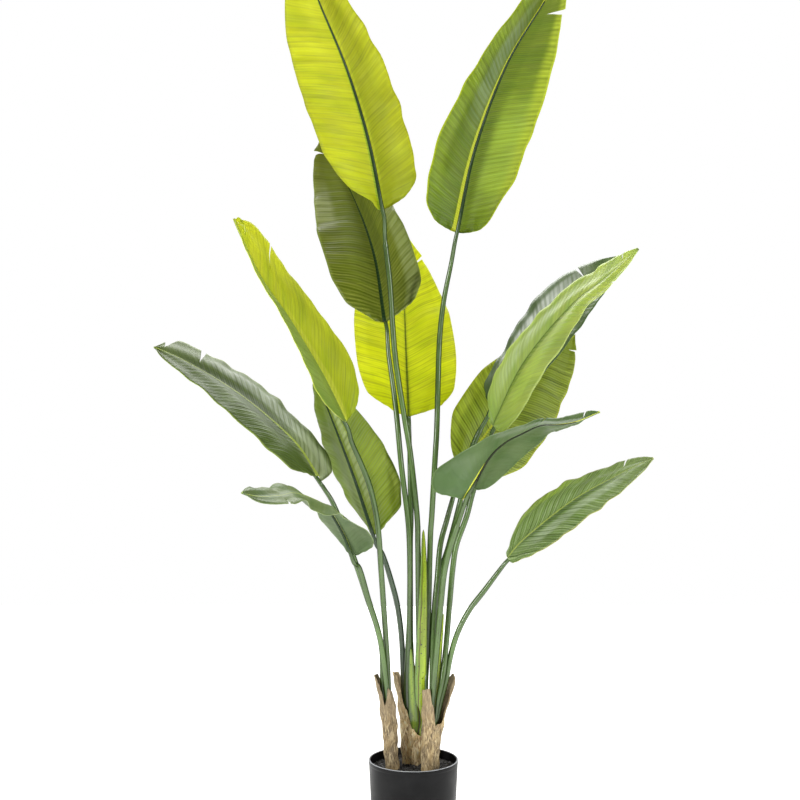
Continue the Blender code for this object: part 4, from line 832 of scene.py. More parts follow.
def pot_plastic(name, base, dust_and_highlight_colour, ior):
    """Polypropylene, injection moulded and dyed black: satin, with the mould's fine grain
    and a few dusty scuffs that catch the light. Given a pale base it is instead the painted
    highlight along the rim's rounded top."""
    material, tree = new_material(name)
    # Grain 0.7 mm across, as the real one of 0.1 mm wouldn't show, and scuffs of 35 mm.
    place = add(tree, "TexCoord").outputs["Object"]
    grain, dust = (
        add(tree, "TexNoise", {"Vector": place, "Scale": scale,
                               "Detail": detail}).outputs["Fac"]
        for scale, detail in ((1400.0, 2.0), (28.0, 4.0)))
    # Dust on the black tub; on the rim's pale material, paler flecks in its painted highlight.
    dust_and_highlight = add(tree, "MapRange", (dust, 0.45, 0.75, 0.0, 0.25))
    colour = add(tree, "Mix", (dust_and_highlight, base, linear(dust_and_highlight_colour)), data_type="RGBA")
    rough = add(tree, "MapRange", (dust, 0.3, 0.7, 0.34, 0.52))
    bump = add(tree, "Bump", {"Height": grain, "Distance": 0.00005})
    skin = add(tree, "BsdfPrincipled", {"Base Color": colour, "Roughness": rough,
                                        "IOR": ior, "Normal": bump})
    add(tree, "OutputMaterial", (skin,))
    return material


def granule_plastic(name, sizes, rough):
    """Crushed black filler: rough lumps, each with a few flat faces that glint."""
    material, tree = new_material(name)
    # Flat faces and hollows about 3 mm across, the size of the larger granules.
    place = add(tree, "TexCoord").outputs["Object"]
    lumps = add(tree, "TexNoise", {"Vector": place, "Scale": 320.0,
                                   "Detail": 3.0}).outputs["Fac"]
    shade = add(tree, "MapRange", (lumps, 0.3, 0.7, 0.0, 0.6))
    colour = add(tree, "Mix", (shade, tuple(sizes.colour), linear("#3a3732")),
                 data_type="RGBA")
    bump = add(tree, "Bump", {"Height": lumps, "Distance": 0.0008})
    skin = add(tree, "BsdfPrincipled", {"Base Color": colour, "Roughness": rough,
                                        "Normal": bump})
    add(tree, "OutputMaterial", (skin,))
    return material


def new_piece(name, verts, faces, materials, stands_for=None):
    """An object of the plant: it rides with the frame and may stand for a solid."""
    mesh = bpy.data.meshes.new(name)
    mesh.from_pydata(np.asarray(verts).tolist(), [], [tuple(face) for face in faces])
    mesh.polygons.foreach_set("use_smooth", [True] * len(mesh.polygons))
    for material in materials:
        mesh.materials.append(material)
    mesh.update()
    piece = bpy.data.objects.new(name, mesh)
    bpy.context.scene.collection.objects.link(piece)
    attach(piece, "root")
    if stands_for:
        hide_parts(stands_for)
    return piece


def add_uv(mesh, name, values):
    """A UV map from one value for each vertex."""
    layer = mesh.uv_layers.new(name=name)
    corners = np.empty(len(mesh.loops), dtype=np.int64)
    mesh.loops.foreach_get("vertex_index", corners)
    layer.uv.foreach_set("vector", np.asarray(values)[corners].astype(np.float32).ravel())


def add_seam_uv(mesh, name, values, around):
    """A UV map for a tube, whose last strip would otherwise run backwards round it."""
    layer = mesh.uv_layers.new(name=name)
    values = np.asarray(values)
    uv = np.empty((len(mesh.loops), 2), dtype=np.float32)
    for polygon in mesh.polygons:
        corners = [values[mesh.loops[i].vertex_index] for i in polygon.loop_indices]
        widest = max(corner[0] for corner in corners)
        for i, corner in zip(polygon.loop_indices, corners):
            shift = around if widest - corner[0] > around / 2 else 0.0
            uv[i] = (corner[0] + shift, corner[1])
    layer.uv.foreach_set("vector", uv.ravel())


def spline(points, steps=40):
    """A smooth line of points through the given ones."""
    knots = np.array(points, dtype=float)
    knots = np.vstack([2 * knots[0] - knots[1], knots, 2 * knots[-1] - knots[-2]])
    t = (np.arange(steps) / steps)[:, None]
    parts = []
    for a, b, c, d in zip(knots, knots[1:], knots[2:], knots[3:]):
        parts.append(0.5 * (2 * b + (c - a) * t + (2 * a - 5 * b + 4 * c - d) * t ** 2
                            + (3 * b - 3 * c + d - a) * t ** 3))
    parts.append(knots[-2][None, :])
    return np.vstack(parts)


def lengths_along(line):
    """How far along a line each of its points lies."""
    return np.concatenate([[0.0], np.cumsum(np.linalg.norm(np.diff(line, axis=0), axis=1))])


def values_at(at, marks, line):
    """The values of a line between its points, at the given distances along it."""
    return np.stack([np.interp(at, marks, line[:, k]) for k in range(3)], -1)


def unit(vectors):
    """The same directions with a length of 1."""
    return vectors / np.linalg.norm(vectors, axis=-1, keepdims=True)


def smooth_value(places, values, at):
    """Values between given ones, eased so that they never overshoot them."""
    places, values = np.array(places, dtype=float), np.array(values, dtype=float)
    steps = np.diff(values) / np.diff(places)
    slopes = np.empty(len(values))
    slopes[0], slopes[-1] = steps[0], steps[-1]
    for k in range(1, len(values) - 1):
        before, after = steps[k - 1], steps[k]
        slopes[k] = 2 * before * after / (before + after) if before * after > 0 else 0.0
    at = np.clip(at, places[0], places[-1])
    i = np.clip(np.searchsorted(places, at, side="right") - 1, 0, len(places) - 2)
    span = places[i + 1] - places[i]
    t = (at - places[i]) / span
    rise = values[i + 1] - values[i]
    m0, m1 = slopes[i] * span, slopes[i + 1] * span
    return (values[i] + m0 * t + (3 * rise - 2 * m0 - m1) * t ** 2
            + (m0 + m1 - 2 * rise) * t ** 3)


def ramp(low, high, value):
    """0 below low, 1 above high, eased in between."""
    t = np.clip((value - low) / (high - low), 0.0, 1.0)
    return t * t * (3 - 2 * t)


def side_and_back(direction):
    """Across a line to the viewer's right, and away from the viewer."""
    across = unit(np.cross(np.array([0.0, 1.0, 0.0]), direction))
    return across, np.cross(direction, across)


class Blade:
    """The surface of one leaf: s runs from neck to tip, u from the left edge to the right."""

    def __init__(self, leaf):
        self.leaf = leaf
        self.line = spline(leaf["rib"])
        self.marks = lengths_along(self.line)
        self.length = self.marks[-1]
        self.directions = unit(np.gradient(self.line, self.marks, axis=0))
        self.sign = 1 if leaf["upper"] == "back" else -1

    def angle(self, name, s):
        """One of the leaf's angles, which are given at even steps."""
        degrees = self.leaf[name]
        return np.radians(smooth_value(np.linspace(0.0, 1.0, len(degrees)), degrees, s))

    def frame(self, s):
        """The midrib's point and direction, and the directions across and behind it."""
        at = np.clip(s, 0.0, 1.0) * self.length
        direction = unit(values_at(at, self.marks, self.directions))
        return (values_at(at, self.marks, self.line), direction) + side_and_back(direction)

    def upper_normal(self, s):
        """Away from the upper side, at the midrib."""
        across, back = self.frame(s)[2:]
        turn = self.angle("turn", s)[..., None]
        return self.sign * (back * np.cos(turn) - across * np.sin(turn))

    def half_width(self, side, s):
        """Half the width on one side, with a rounded lobe at the base."""
        width = smooth_value(STATIONS, (BASE_HALF_WIDTH,) + self.leaf[side] + (0.0,), s)
        part = np.clip(s / STATIONS[1], 0.0, 1.0)
        lobe = BASE_HALF_WIDTH + (self.leaf[side][0] - BASE_HALF_WIDTH) * np.sqrt(
            part * (2 - part))
        return np.where(s < STATIONS[1], width * 0.4 + lobe * 0.6, width)

    def surface(self, s, u, along, lift):
        """Points of the middle surface, with the moved place and the lateral distance."""
        size = np.abs(u)
        side = np.where(u > 0, 1.0, -1.0)
        ease = np.minimum(1.0, s / 0.12) * np.minimum(1.0, (1 - s) / 0.15)
        s = s + self.leaf["lean"] * size * ease
        point, direction, across, back = self.frame(s)
        turn, fold = self.angle("turn", s), self.angle("fold", s)
        if "left_fold" in self.leaf:
            other = self.angle("left_fold", s)
            fold = np.where(u < 0, fold + (other - fold) * ramp(0.0, 0.25, size), fold)
        width = np.where(u > 0, self.half_width("right", s), self.half_width("left", s))
        steps = 10
        for step in range(steps):
            part = (step + 0.5) / steps * size
            angle = side * turn + self.sign * (fold + CURL * (0.5 - part) * 2)
            reach = (width * size / steps)[..., None]
            point = point + (side[..., None] * across * np.cos(angle)[..., None]
                             + back * np.sin(angle)[..., None]) * reach
        normal = (back * np.cos(angle)[..., None]
                  - (side[..., None] * across) * np.sin(angle)[..., None])

        # Waves of the edge, fine ruffles on it, a slow swelling, and the base's crinkles.
        phase = (2 * math.pi * self.leaf["waves"] * s + 1.7 * side
                 + 9 * self.leaf["left"][3])
        ripple = (WAVE_HEIGHT * self.leaf["wavy"] * u * u
                  * (np.sin(phase) + 0.5 * np.sin(1.6 * phase + 2))
                  * np.sqrt(np.maximum(np.sin(math.pi * s), 0.0)))
        ripple += 0.0006 * size ** 4 * np.sin(2 * math.pi * s * self.length / 0.047 + side)
        ripple += 0.0026 * np.sin(math.pi * size) * np.sin(
            5.0 * size + 6.5 * s + 2.2 * side + 31 * self.leaf["right"][2])
        ripple += 0.0012 * ramp(0.10, 0.0, s) * size * np.sin(
            2 * math.pi * width * size / 0.016)
        point = point + normal * (ripple + lift)[..., None]

        heel = np.where(u < 0, self.leaf["heel"][0], self.leaf["heel"][1]) * size
        belly = np.sin(math.pi * np.clip(s / STATIONS[1], 0.0, 1.0))
        along = along - heel * (np.maximum(0.0, 1 - s / 0.3) ** 2
                                + self.leaf["belly"] * belly)
        return point + direction * along[..., None], s, side * width * size


def sheet_grid(blade):
    """Rows and columns of the blade's middle surface, opened along its slits."""
    slits = blade.leaf["slits"]
    # Rows lie closest at the base, where the lobes curl, and at the tip, and columns at
    # the midrib.
    count = max(int(blade.length / ROW_STEP), 60)
    rows = [(s, None) for s in np.concatenate([0.036 * np.linspace(0.0, 1.0, 16) ** 1.4,
                                               np.linspace(0.040, 0.97, count),
                                               (0.977, 0.984, 0.990, 0.995, 0.998)])]
    for slit in slits:
        rows = [row for row in rows if row[1] or abs(row[0] - slit[1]) > 0.002]
        rows.append((slit[1], slit))
    rows.sort(key=lambda row: row[0])
    fine = np.linspace(0.0, 1.0, 19) ** 1.45
    columns = np.concatenate([-fine[:0:-1], fine])
    s_values, u_values, along, below, above = [], [], [], [], []
    # At a slit each point beyond its inner end is there twice, once for each lip.
    for s, slit in rows:
        lower, upper = [], []
        for u in columns:
            opened = slit and (u > 0) == (slit[0] == "right") and abs(u) > slit[2]
            for lip in ((-1, 1) if opened else (0,)):
                s_values.append(s)
                u_values.append(u)
                move = 0.0
                for side, place, inner, *gape in slits:
                    if (u > 0) == (side == "right") and abs(u) > inner:
                        near = max(0.0, 1 - abs(s - place) / 0.05)
                        way = lip if abs(s - place) < 1e-9 else math.copysign(1, s - place)
                        wide = gape[0] if gape else SLIT_GAPE
                        move += wide * (abs(u) - inner) / (1 - inner) * near * way
                along.append(move)
                if lip <= 0:
                    lower.append(len(s_values) - 1)
                if lip >= 0:
                    upper.append(len(s_values) - 1)
        below.append(lower)
        above.append(upper)
    return tuple(np.array(v) for v in (s_values, u_values, along, below, above))


def make_sheet(key, sizes):
    """One moulded blade: a closed thin sheet with veins, a raised midrib and wavy edges."""
    look = {**PLAIN_LOOK, **LOOKS[key]}
    blade = Blade({**PLAIN_LEAF, **LEAVES[key]})
    s, u, along, below, above = sheet_grid(blade)
    # Side veins run slanting from the midrib, so their folds need the distance from it.
    flat = blade.surface(s, u, along, np.zeros_like(s))[2]
    swept = (s * blade.length - look["sweep"] * np.abs(flat)) * look["pitch"]
    folds = FOLD_HEIGHT * np.sin(2 * math.pi * swept / sizes.fold_pitch)
    folds = folds * ramp(0.02, 0.25, np.abs(u)) * ramp(1.0, 0.9, s)
    middle, place, lateral = blade.surface(s, u, along, folds)
    ridge = MIDRIB_HEIGHT * (1 - 0.75 * s) * np.exp(-(lateral / (0.0048 - 0.0034 * s)) ** 2)
    middle = middle + blade.upper_normal(place) * (ridge * ramp(0.0, 0.02, s))[..., None]

    quads = np.concatenate([np.stack([above[i][:-1], above[i][1:],
                                      below[i + 1][1:], below[i + 1][:-1]], -1)
                            for i in range(len(above) - 1)])
    if blade.sign > 0:
        quads = quads[:, ::-1]
    # Each layer lies half a thickness from the middle surface, along its smoothed normal.
    corners = middle[quads]
    face_normals = np.cross(corners[:, 2] - corners[:, 0], corners[:, 3] - corners[:, 1])
    normals = np.zeros_like(middle)
    for k in range(4):
        np.add.at(normals, quads[:, k], face_normals)
    half = unit(normals) * (sizes.thickness / 2)
    verts = np.concatenate([middle + half, middle - half])
    count, total = len(middle), len(quads)
    edges = dict.fromkeys(pair for quad in quads.tolist()
                          for pair in zip(quad, quad[1:] + quad[:1]))
    rim = [(b, a, a + count, b + count) for a, b in edges if (b, a) not in edges]
    # Both layers are split along the same diagonals, so that they never cut each other.
    faces = quads.tolist() + (quads[:, [0, 3, 2, 1]] + count).tolist() + rim
    near, far = ("upper", "under") if blade.leaf["upper"] == "front" else ("under", "upper")
    surfaces = {side: leaf_plastic("polyethylene_sheet_%s_%s" % (key, side), look,
                                   side == near, sizes) for side in (near, far)}
    piece = new_piece("sheet_" + key, verts, faces,
                      (surfaces["upper"], surfaces["under"],
                       edge_plastic("polyethylene_edge_" + key, look)),
                      "leaf_" + key)
    mesh = piece.data
    mesh.polygons.foreach_set("material_index", [0] * total + [1] * total + [2] * len(rim))
    mesh.polygons.foreach_set("use_smooth", [True] * (2 * total) + [False] * len(rim))
    for name, values in (("veins", (lateral, swept)), ("place", (0.5 + u / 2, s))):
        values = np.stack(values, -1)
        add_uv(mesh, name, np.concatenate([values, values]))


def closed_rings(rings, sides):
    """Quads between neighbouring rings of vertices, and a face over each end."""
    faces = []
    for ring in range(rings - 1):
        for i in range(sides):
            j = (i + 1) % sides
            faces.append((ring * sides + i, ring * sides + j,
                          (ring + 1) * sides + j, (ring + 1) * sides + i))
    faces.append(tuple(range(sides))[::-1])
    faces.append(tuple(range((rings - 1) * sides, rings * sides)))
    return faces


def tube_mesh(line, widths, depths, sides, lobes):
    """Fluted rings along a line, with the distances round and along it."""
    marks = lengths_along(line)
    across, back = side_and_back(unit(np.gradient(line, marks, axis=0)))
    angles = 2 * math.pi * np.arange(sides) / sides
    fluted = 1 + lobes * np.cos(6 * angles)
    rings = (line[:, None, :]
             + across[:, None, :] * (widths[:, None] * np.cos(angles) * fluted)[..., None]
             + back[:, None, :] * (depths[:, None] * np.sin(angles) * fluted)[..., None])
    uv = np.stack([np.tile(angles * SKIN_RADIUS, len(line)), np.repeat(marks, sides)], -1)
    return rings.reshape(-1, 3), closed_rings(len(line), sides), uv


def way_up(plant, path):
    """A fine line from the hole in the trunk piece along a path, with its distances."""
    floor = TRUNKS[plant["trunk"]]["floor"]
    x, y = plant["foot"]
    line = spline([(x, y, floor - HOLE_DEPTH + GAP), (x, y, floor + 0.003)] + path, 24)
    return line, lengths_along(line)


def make_stem(key, sizes, blade_thickness, material):
    """A stem with its wire rib, as one fluted tube."""
    leaf = {**PLAIN_LEAF, **LEAVES[key]}
    blade = Blade(leaf)
    s = np.linspace(0.0, RIB_REACH, 70)
    rib_radii = NECK_RADIUS + (RIB_TIP_RADIUS - NECK_RADIUS) * s / RIB_REACH
    rib_radii = rib_radii * (1 - (1 - leaf["wire"]) * ramp(0.0, 0.10, s))
    centre, direction = blade.frame(s)[:2]
    under = blade.upper_normal(s) * (blade_thickness / 2 + GAP + rib_radii)[:, None]
    rib = centre - under
    fine, marks = way_up(leaf, list(leaf["stem"]) + [
        tuple(centre[0] - direction[0] * NECK_LEAD - under[0]), tuple(rib[0])])
    wanted = np.linspace(0.0, marks[-1], int(marks[-1] / 0.004))[:-1]
    line = values_at(wanted, marks, fine)
    height, place = line[:, 2], wanted / marks[-1]
    radii = smooth_value(GIRTH_PLACES, GIRTH_RADII, place)
    # A sleeve makes the stem a little thicker up to its end, which is a small ring.
    for end in leaf["sleeves"]:
        radii = radii + (0.0007 * ramp(end + 0.002, end - 0.002, height)
                         * ramp(end - 0.12, end - 0.04, height)
                         + 0.0009 * np.exp(-((height - end) / 0.003) ** 2))
    widths = radii
    if "spread" in leaf:
        swell = ramp(0.215, 0.295, height) * (1 - ramp(0.31, 0.47, height))
        widths = radii + (leaf["spread"] - radii) * swell
    # The wire joins on, and its last 2 mm are rounded off.
    line = np.vstack([line, rib])
    marks = lengths_along(line)
    rounding = np.sqrt(np.clip((marks[-1] - marks) / 0.002, 0.05, 1.0))
    verts, faces, uv = tube_mesh(line, np.concatenate([widths, rib_radii]) * rounding,
                                 np.concatenate([radii, rib_radii]) * rounding,
                                 STEM_SIDES, sizes.flute / SKIN_RADIUS)
    piece = new_piece("cane_" + key, verts, faces, (material,), "stem_" + key)
    add_seam_uv(piece.data, "skin", uv, SKIN_GIRTH)
    reach = np.repeat(np.concatenate([place, 1 + s / RIB_REACH]), STEM_SIDES)
    add_uv(piece.data, "reach", np.stack([reach, np.zeros_like(reach)], -1))


def make_shoot(key, material):
    """A flat pointed shoot with a crease down its middle."""
    shoot = SHOOTS[key]
    fine, marks = way_up(shoot, list(shoot["path"]))
    place = np.linspace(0.0, 1.0, 90)
    line = values_at(place * marks[-1], marks, fine)
    # A round foot that turns into the flat blade, which ends in a point.
    swell = ramp(0.05, 0.35, place) * (1 - place) ** 0.45
    widths = 0.0026 * (1 - place) + shoot["size"][0] * swell + 0.0004
    depths = 0.0026 * (1 - place) * (1 - swell) + shoot["size"][1] * swell + 0.0004
    verts, faces, uv = tube_mesh(line, widths, depths, 20, 0.03)
    piece = new_piece("blade_" + key, verts, faces, (material,), key)
    add_seam_uv(piece.data, "skin", uv, SKIN_GIRTH)


def round_value(values, angle):
    """A value between the twelve given round a bark piece's edge."""
    step = angle / (2 * math.pi) * len(values)
    i = int(step) % len(values)
    t = step - int(step)
    t = t * t * (3 - 2 * t)
    return values[i] * (1 - t) + values[(i + 1) % len(values)] * t


def make_trunk(key, sizes, soil_top):
    """A bark tube with lengthwise fibres, a torn thin edge and a hollow top."""
    trunk = TRUNKS[key]
    sides = 132
    start = soil_top + 0.004  # the relief begins just above the filling
    seed = Vector((3.1 * len(key), 7.7, 1.9))

    def torn(angle):
        """The height of the torn edge: its lobes with small teeth and nicks."""
        spot = Vector((math.cos(angle), math.sin(angle), 0.0))
        teeth = 0.0030 * noise.noise(spot * 4 + seed) + 0.0012 * noise.noise(spot * 11 + seed)
        return round_value(trunk["rim"], angle) + teeth

    def wall_point(angle, z, inward):
        """A point of the wall: it leans, flares towards its edge and carries the bark."""
        lean = max((z - soil_top) / (TRUNK_TOP - soil_top), 0.0)
        cx, cy = (foot + (top - foot) * lean for foot, top in zip(trunk["foot"],
                                                                  trunk["top"]))
        part = max((z - soil_top) / (round_value(trunk["rim"], angle) - soil_top), 0.0)
        bark = 0.0
        if z > start - 0.001:
            bark = (0.0010 * math.sin(5 * angle + 90 * z)
                    + 0.0009 * math.sin(3 * angle - 150 * z))
            spot = Vector((math.cos(angle) * 5, math.sin(angle) * 5, z * 26)) + seed
            fibre = 1.5 * noise.noise(spot) + 1.1 * noise.noise(spot * 2.7)
            bark += sizes.relief * fibre * (1.0 if inward < 0.001 else 0.5)
        out = round_value(trunk["flare"], angle) * part ** 2.2 + bark - inward
        return (cx + (trunk["size"][0] + out) * math.cos(angle),
                cy + (trunk["size"][1] + out) * math.sin(angle), z)

    # From the foot up the outside, over the thin lip and down the hollow to its floor.
    verts, uv = [], []
    radius = sum(trunk["size"]) / 2
    rows = [("foot", 0.0)] + [("out", part) for part in np.linspace(0.0, 1.0, 56)]
    rows += [("lip", 0.5)] + [("in", part) for part in np.linspace(1.0, 0.0, 26)]
    for kind, part in rows:
        for i in range(sides):
            angle = 2 * math.pi * i / sides
            top = torn(angle)
            if kind == "foot":
                point = wall_point(angle, TRUNK_FOOT, 0.0)
            elif kind == "out":
                point = wall_point(angle, start + (top - start) * part, 0.0)
            elif kind == "lip":
                point = wall_point(angle, top + 0.0004, TRUNK_WALL * 0.4)
            else:
                z = trunk["floor"] + (top - trunk["floor"]) * part
                thin = TRUNK_WALL * (0.55 + 0.45 * ramp(1.0, 0.6, part))
                point = wall_point(angle, z, thin)
            verts.append(point)
            uv.append((angle * radius, point[2]))
    name = key.replace("trunk", "bark")
    material = bark_plastic("polyethylene_" + name, sizes, trunk["tone"])
    piece = new_piece(name, verts, closed_rings(len(rows), sides), (material,), key)
    add_seam_uv(piece.data, "skin", uv, 2 * math.pi * radius)


def make_pot(sizes):
    """The tub, as one profile turned round the Z axis, with a rolled rim and a foot ring."""
    height, rim, foot, wall = sizes.height, sizes.rim_radius, sizes.foot_radius, sizes.wall
    slope = (rim - foot) / height
    edge = 0.0014
    # Foot ring, outside, the step below the rim, the rolled rim, and down the inside.
    profile = [(foot - 0.012, 0.0030), (foot - 0.010, 0.0006), (foot - 0.008, 0.0),
               (foot - edge, 0.0), (foot - 0.0003, 0.0004), (foot, edge)]
    for z in np.linspace(0.006, height - 0.010, 26):
        profile.append((foot + slope * z, z))
    profile += [(rim - 0.0006, height - 0.0085), (rim - 0.0001, height - 0.0078),
                (rim, height - 0.0070), (rim, height - 0.0014)]
    for i in range(1, 6):
        turn = math.pi / 2 * i / 6
        profile.append((rim - edge + edge * math.cos(turn),
                        height - edge + edge * math.sin(turn)))
    profile += [(rim - edge, height), (rim - wall + edge, height)]
    for i in range(1, 5):
        turn = math.pi / 2 * i / 5
        profile.append((rim - wall + edge - edge * math.sin(turn),
                        height - edge + edge * math.cos(turn)))
    inner = foot - wall + slope * wall
    for part in np.linspace(0.0, 1.0, 12):
        profile.append((rim - wall + (inner - rim + wall) * part,
                        height - edge + (wall - height + edge) * part))
    sides = 160
    angles = [2 * math.pi * i / sides for i in range(sides)]
    verts = [(radius * math.cos(angle), radius * math.sin(angle), z)
             for radius, z in profile for angle in angles]
    black = pot_plastic("polypropylene_moulded_black", tuple(sizes.colour), "#2a2a2b", 1.24)
    # The rim's rounded top has a painted highlight: a pale grey copy of the plastic.
    rim_highlight = pot_plastic("polypropylene_rim_painted_highlight", linear("#8f9194"), "#c4c6c8", 1.6)
    tub = new_piece("tub", verts, closed_rings(len(profile), sides), (black, rim_highlight),
                    "pot")
    for polygon in tub.data.polygons:
        if polygon.center.z > height - edge * 0.75:
            polygon.material_index = 1


def filling_height(x, y, top):
    """The filling's lumpy top."""
    waves = math.sin(190 * x + 1.3) * math.cos(170 * y) + math.sin(260 * (x + y) + 0.7)
    return top + SOIL_LUMP * waves


def make_filling(sizes, pot):
    """The filling's lumpy top on its solid body, and the loose granules that cover it."""
    slope = (pot.rim_radius - pot.foot_radius) / pot.height
    low = pot.wall + GAP
    foot = pot.foot_radius - pot.wall + slope * low - 2 * GAP
    rim = pot.rim_radius - pot.wall - slope * (pot.height - sizes.top) - 2 * GAP
    sides = 150
    angles = [2 * math.pi * i / sides for i in range(sides)]
    verts = [(foot * math.cos(angle), foot * math.sin(angle), low) for angle in angles]
    parts = np.linspace(1.0, 0.02, 60)
    for part in parts:
        for angle in angles:
            x, y = rim * part * math.cos(angle), rim * part * math.sin(angle)
            z = filling_height(x, y, sizes.top) if part < 0.97 else sizes.top
            z += 0.0012 * noise.noise(Vector((x, y, 0.0)) * 260)
            verts.append((x, y, z))
    new_piece("filling_bed", verts, closed_rings(len(parts) + 1, sides),
              (granule_plastic("crushed_filler_bed", sizes, 0.8),), "soil")

    # A granule is a lump with twenty faces, drawn out of shape.
    draw = np.random.default_rng(41)
    golden = (1 + math.sqrt(5)) / 2
    corners = unit(np.array([(-1, golden, 0), (1, golden, 0), (-1, -golden, 0),
                             (1, -golden, 0), (0, -1, golden), (0, 1, golden),
                             (0, -1, -golden), (0, 1, -golden), (golden, 0, -1),
                             (golden, 0, 1), (-golden, 0, -1), (-golden, 0, 1)], dtype=float))
    lump_faces = np.array([(0, 11, 5), (0, 5, 1), (0, 1, 7), (0, 7, 10), (0, 10, 11),
                           (1, 5, 9), (5, 11, 4), (11, 10, 2), (10, 7, 6), (7, 1, 8),
                           (3, 9, 4), (3, 4, 2), (3, 2, 6), (3, 6, 8), (3, 8, 9),
                           (4, 9, 5), (2, 4, 11), (6, 2, 10), (8, 6, 7), (9, 8, 1)])
    verts, faces = [], []
    for _ in range(GRANULES):
        radius = (rim - 0.002) * math.sqrt(draw.random())
        angle = 2 * math.pi * draw.random()
        x, y = radius * math.cos(angle), radius * math.sin(angle)
        size = sizes.grain * (0.25 + 0.35 * draw.random() ** 2)
        shape = corners * (0.75 + 0.5 * draw.random((12, 1)))
        shape = shape * (size * (0.7 + 0.6 * draw.random(3)))
        z = filling_height(x, y, sizes.top) + size * (0.2 + 0.5 * draw.random())
        faces.append(lump_faces + 12 * len(verts))
        verts.append(shape + np.array((x, y, z)))
    loose = new_piece("filling_granules", np.vstack(verts), np.vstack(faces).tolist(),
                      (granule_plastic("crushed_filler_granules", sizes, 0.45),))
    loose.data.polygons.foreach_set("use_smooth", [False] * len(loose.data.polygons))


def softbox(name, place, target, size, power):
    """A soft rectangular light that the camera doesn't see."""
    light = bpy.data.lights.new(name, "AREA")
    light.shape = "RECTANGLE"
    light.size, light.size_y = size
    light.energy = power
    lamp = bpy.data.objects.new(name, light)
    lamp.location = place
    lamp.rotation_euler = (Vector(target) - Vector(place)).to_track_quat("-Z", "Y").to_euler()
    lamp.visible_camera = False
    bpy.context.scene.collection.objects.link(lamp)


class PALM_OT_make_tub(bpy.types.Operator):
    """Make the black tub"""
    bl_idname = "palm.make_tub"
    bl_label = "Tub"

    def execute(self, context):
        make_pot(context.scene.palm_pot)
        return {"FINISHED"}


class PALM_OT_make_filling(bpy.types.Operator):
    """Make the filling and its granules"""
    bl_idname = "palm.make_filling"
    bl_label = "Filling"

    def execute(self, context):
        make_filling(context.scene.palm_filling, context.scene.palm_pot)
        return {"FINISHED"}


class PALM_OT_make_bark(bpy.types.Operator):
    """Make the three bark pieces"""
    bl_idname = "palm.make_bark"
    bl_label = "Bark pieces"

    def execute(self, context):
        for key in TRUNKS:
            make_trunk(key, context.scene.palm_bark, context.scene.palm_filling.top)
        return {"FINISHED"}


class PALM_OT_make_stems(bpy.types.Operator):
    """Make the stems with the wires under the blades"""
    bl_idname = "palm.make_stems"
    bl_label = "Stems"

    def execute(self, context):
        sizes = context.scene.palm_stems
        colour, dark, rib = tuple(sizes.colour), tuple(sizes.dark), tuple(sizes.rib)
        skin = stem_plastic("pvc_skin_green", sizes, colour, dark, 0.8, rib)
        # left_inner's stem is painted shade: a darker copy of the green skin.
        special = {
            "left_inner": stem_plastic("pvc_skin_painted_shade", sizes, linear("#3c4f38"), dark,
                                       0.6, rib),
            "right_drooping": stem_plastic("pvc_skin_brown_rib", sizes, colour, dark, 0.8,
                                           linear("#1b1a0f"))}
        for key in LEAVES:
            make_stem(key, sizes, context.scene.palm_leaves.thickness,
                      special.get(key, skin))
        return {"FINISHED"}


class PALM_OT_make_shoots(bpy.types.Operator):
    """Make the young shoot and the split sheaths"""
    bl_idname = "palm.make_shoots"
    bl_label = "Shoots"

    def execute(self, context):
        sizes = context.scene.palm_stems
        shoot = tuple(sizes.shoot)
        # Round the front from left to right: green, a thin brown seam, yellow-green, green,
        # and at the right side a dark green that is painted shade.
        skin = stem_plastic("pvc_skin_shoot", sizes, shoot, linear("#54501c"), 1.0, stripes=(
            (0.52, linear("#44602a")), (0.64, linear("#5f8030")), (0.715, linear("#7d9c2a")),
            (0.745, linear("#4c3610")), (0.775, shoot), (0.90, linear("#a3bb2e")),
            (0.98, linear("#5a7426")), (1.04, linear("#2c3c16"))))
        # The sheath round the front from left to right: green, yellow-green, green, brown, and
        # at the right side a dark green that is painted shade.
        green = stem_plastic("pvc_skin_sheath", sizes, shoot, linear("#263a12"), 1.0, stripes=(
            (0.54, linear("#4d6a38")), (0.66, linear("#5f8030")), (0.76, linear("#8ca62c")),
            (0.88, linear("#5c7a2a")), (0.96, linear("#4a3a16")), (1.04, linear("#2c3c16"))))
        for key in SHOOTS:
            make_shoot(key, green if key == "sheath_middle" else skin)
        return {"FINISHED"}


class PALM_OT_make_leaves(bpy.types.Operator):
    """Make the thirteen moulded blades"""
    bl_idname = "palm.make_leaves"
    bl_label = "Leaves"

    def execute(self, context):
        for key in LEAVES:
            make_sheet(key, context.scene.palm_leaves)
        return {"FINISHED"}


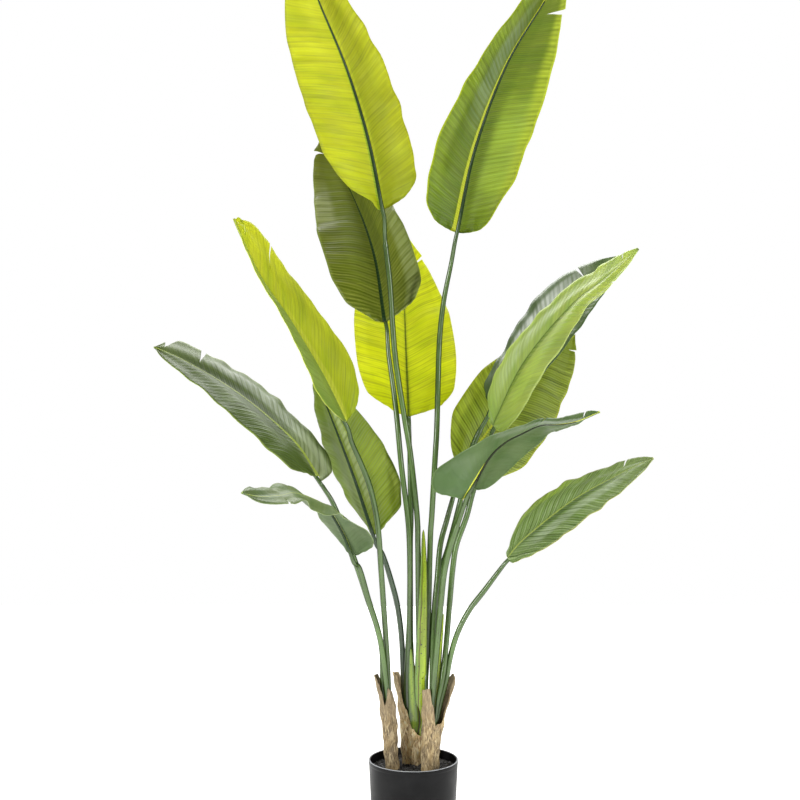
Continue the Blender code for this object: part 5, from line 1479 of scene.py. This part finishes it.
class PALM_OT_make_stage(bpy.types.Operator):
    """Make the floor, the lights and the camera"""
    bl_idname = "palm.make_stage"
    bl_label = "Stage"

    def execute(self, context):
        scene = context.scene
        settings = scene.palm_stage
        scene.view_settings.view_transform = "Standard"
        half = FLOOR_HALF
        mesh = bpy.data.meshes.new("floor")
        mesh.from_pydata([(-half, -half, 0), (half, -half, 0), (half, half, 0),
                          (-half, half, 0)], [], [(0, 1, 2, 3)])
        material, tree = new_material("painted_board_floor")
        skin = add(tree, "BsdfPrincipled", {
            "Base Color": tuple(settings.floor), "Roughness": 0.9,
            "Emission Color": (1, 1, 1, 1), "Emission Strength": 0.5})
        add(tree, "OutputMaterial", (skin,))
        mesh.materials.append(material)
        floor = bpy.data.objects.new("floor", mesh)
        scene.collection.objects.link(floor)

        # The camera sees a white world, which lights the plant much less than it shows.
        world = bpy.data.worlds.new("studio")
        scene.world = world
        world.use_nodes = True
        tree = world.node_tree
        tree.nodes.clear()
        felt, seen = (add(tree, "Background", {"Color": (1, 1, 1, 1), "Strength": strength})
                      for strength in (0.25, 1.0))
        straight = add(tree, "LightPath").outputs["Is Camera Ray"]
        add(tree, "OutputWorld", (add(tree, "MixShader", (straight, felt, seen)),))
        for name, light in LIGHTS.items():
            softbox(name, *light)

        camera = bpy.data.cameras.new("camera")
        camera.lens = settings.lens
        camera.sensor_width = 36.0
        camera.shift_y = CAMERA_SHIFT
        viewer = bpy.data.objects.new("camera", camera)
        viewer.location = CAMERA_PLACE
        viewer.rotation_euler = (CAMERA_TILT, 0.0, 0.0)
        scene.collection.objects.link(viewer)
        scene.camera = viewer
        return {"FINISHED"}


OPERATORS = (PALM_OT_make_tub, PALM_OT_make_filling, PALM_OT_make_bark, PALM_OT_make_stems,
             PALM_OT_make_shoots, PALM_OT_make_leaves, PALM_OT_make_stage)
GROUPS = {"palm_pot": PotSettings, "palm_filling": FillingSettings,
          "palm_bark": BarkSettings, "palm_stems": StemSettings,
          "palm_leaves": LeafSettings, "palm_stage": StageSettings}


class PALM_PT_pieces(bpy.types.Panel):
    """Sizes, colours and makers of the palm's pieces"""
    bl_idname = "PALM_PT_pieces"
    bl_label = "Artificial Palm"
    bl_space_type = "VIEW_3D"
    bl_region_type = "UI"
    bl_category = "Palm"

    def draw(self, context):
        for operator in OPERATORS:
            self.layout.operator(operator.bl_idname)
        for name in GROUPS:
            group = getattr(context.scene, name)
            box = self.layout.box()
            for key in group.__annotations__:
                box.prop(group, key)


def register():
    """Make the settings, the operators and the panel known to Blender."""
    for group in GROUPS.values():
        bpy.utils.register_class(group)
    for operator in OPERATORS:
        bpy.utils.register_class(operator)
    bpy.utils.register_class(PALM_PT_pieces)
    for name, group in GROUPS.items():
        setattr(bpy.types.Scene, name, bpy.props.PointerProperty(type=group))


def unregister():
    """Take them out again."""
    for name in GROUPS:
        delattr(bpy.types.Scene, name)
    bpy.utils.unregister_class(PALM_PT_pieces)
    for cls in reversed(OPERATORS):
        bpy.utils.unregister_class(cls)
    for group in GROUPS.values():
        bpy.utils.unregister_class(group)


def main():
    """Make every piece and the stage."""
    register()
    bpy.ops.palm.make_tub()
    bpy.ops.palm.make_filling()
    bpy.ops.palm.make_bark()
    bpy.ops.palm.make_stems()
    bpy.ops.palm.make_shoots()
    bpy.ops.palm.make_leaves()
    bpy.ops.palm.make_stage()


if __name__ == "__main__":
    main()
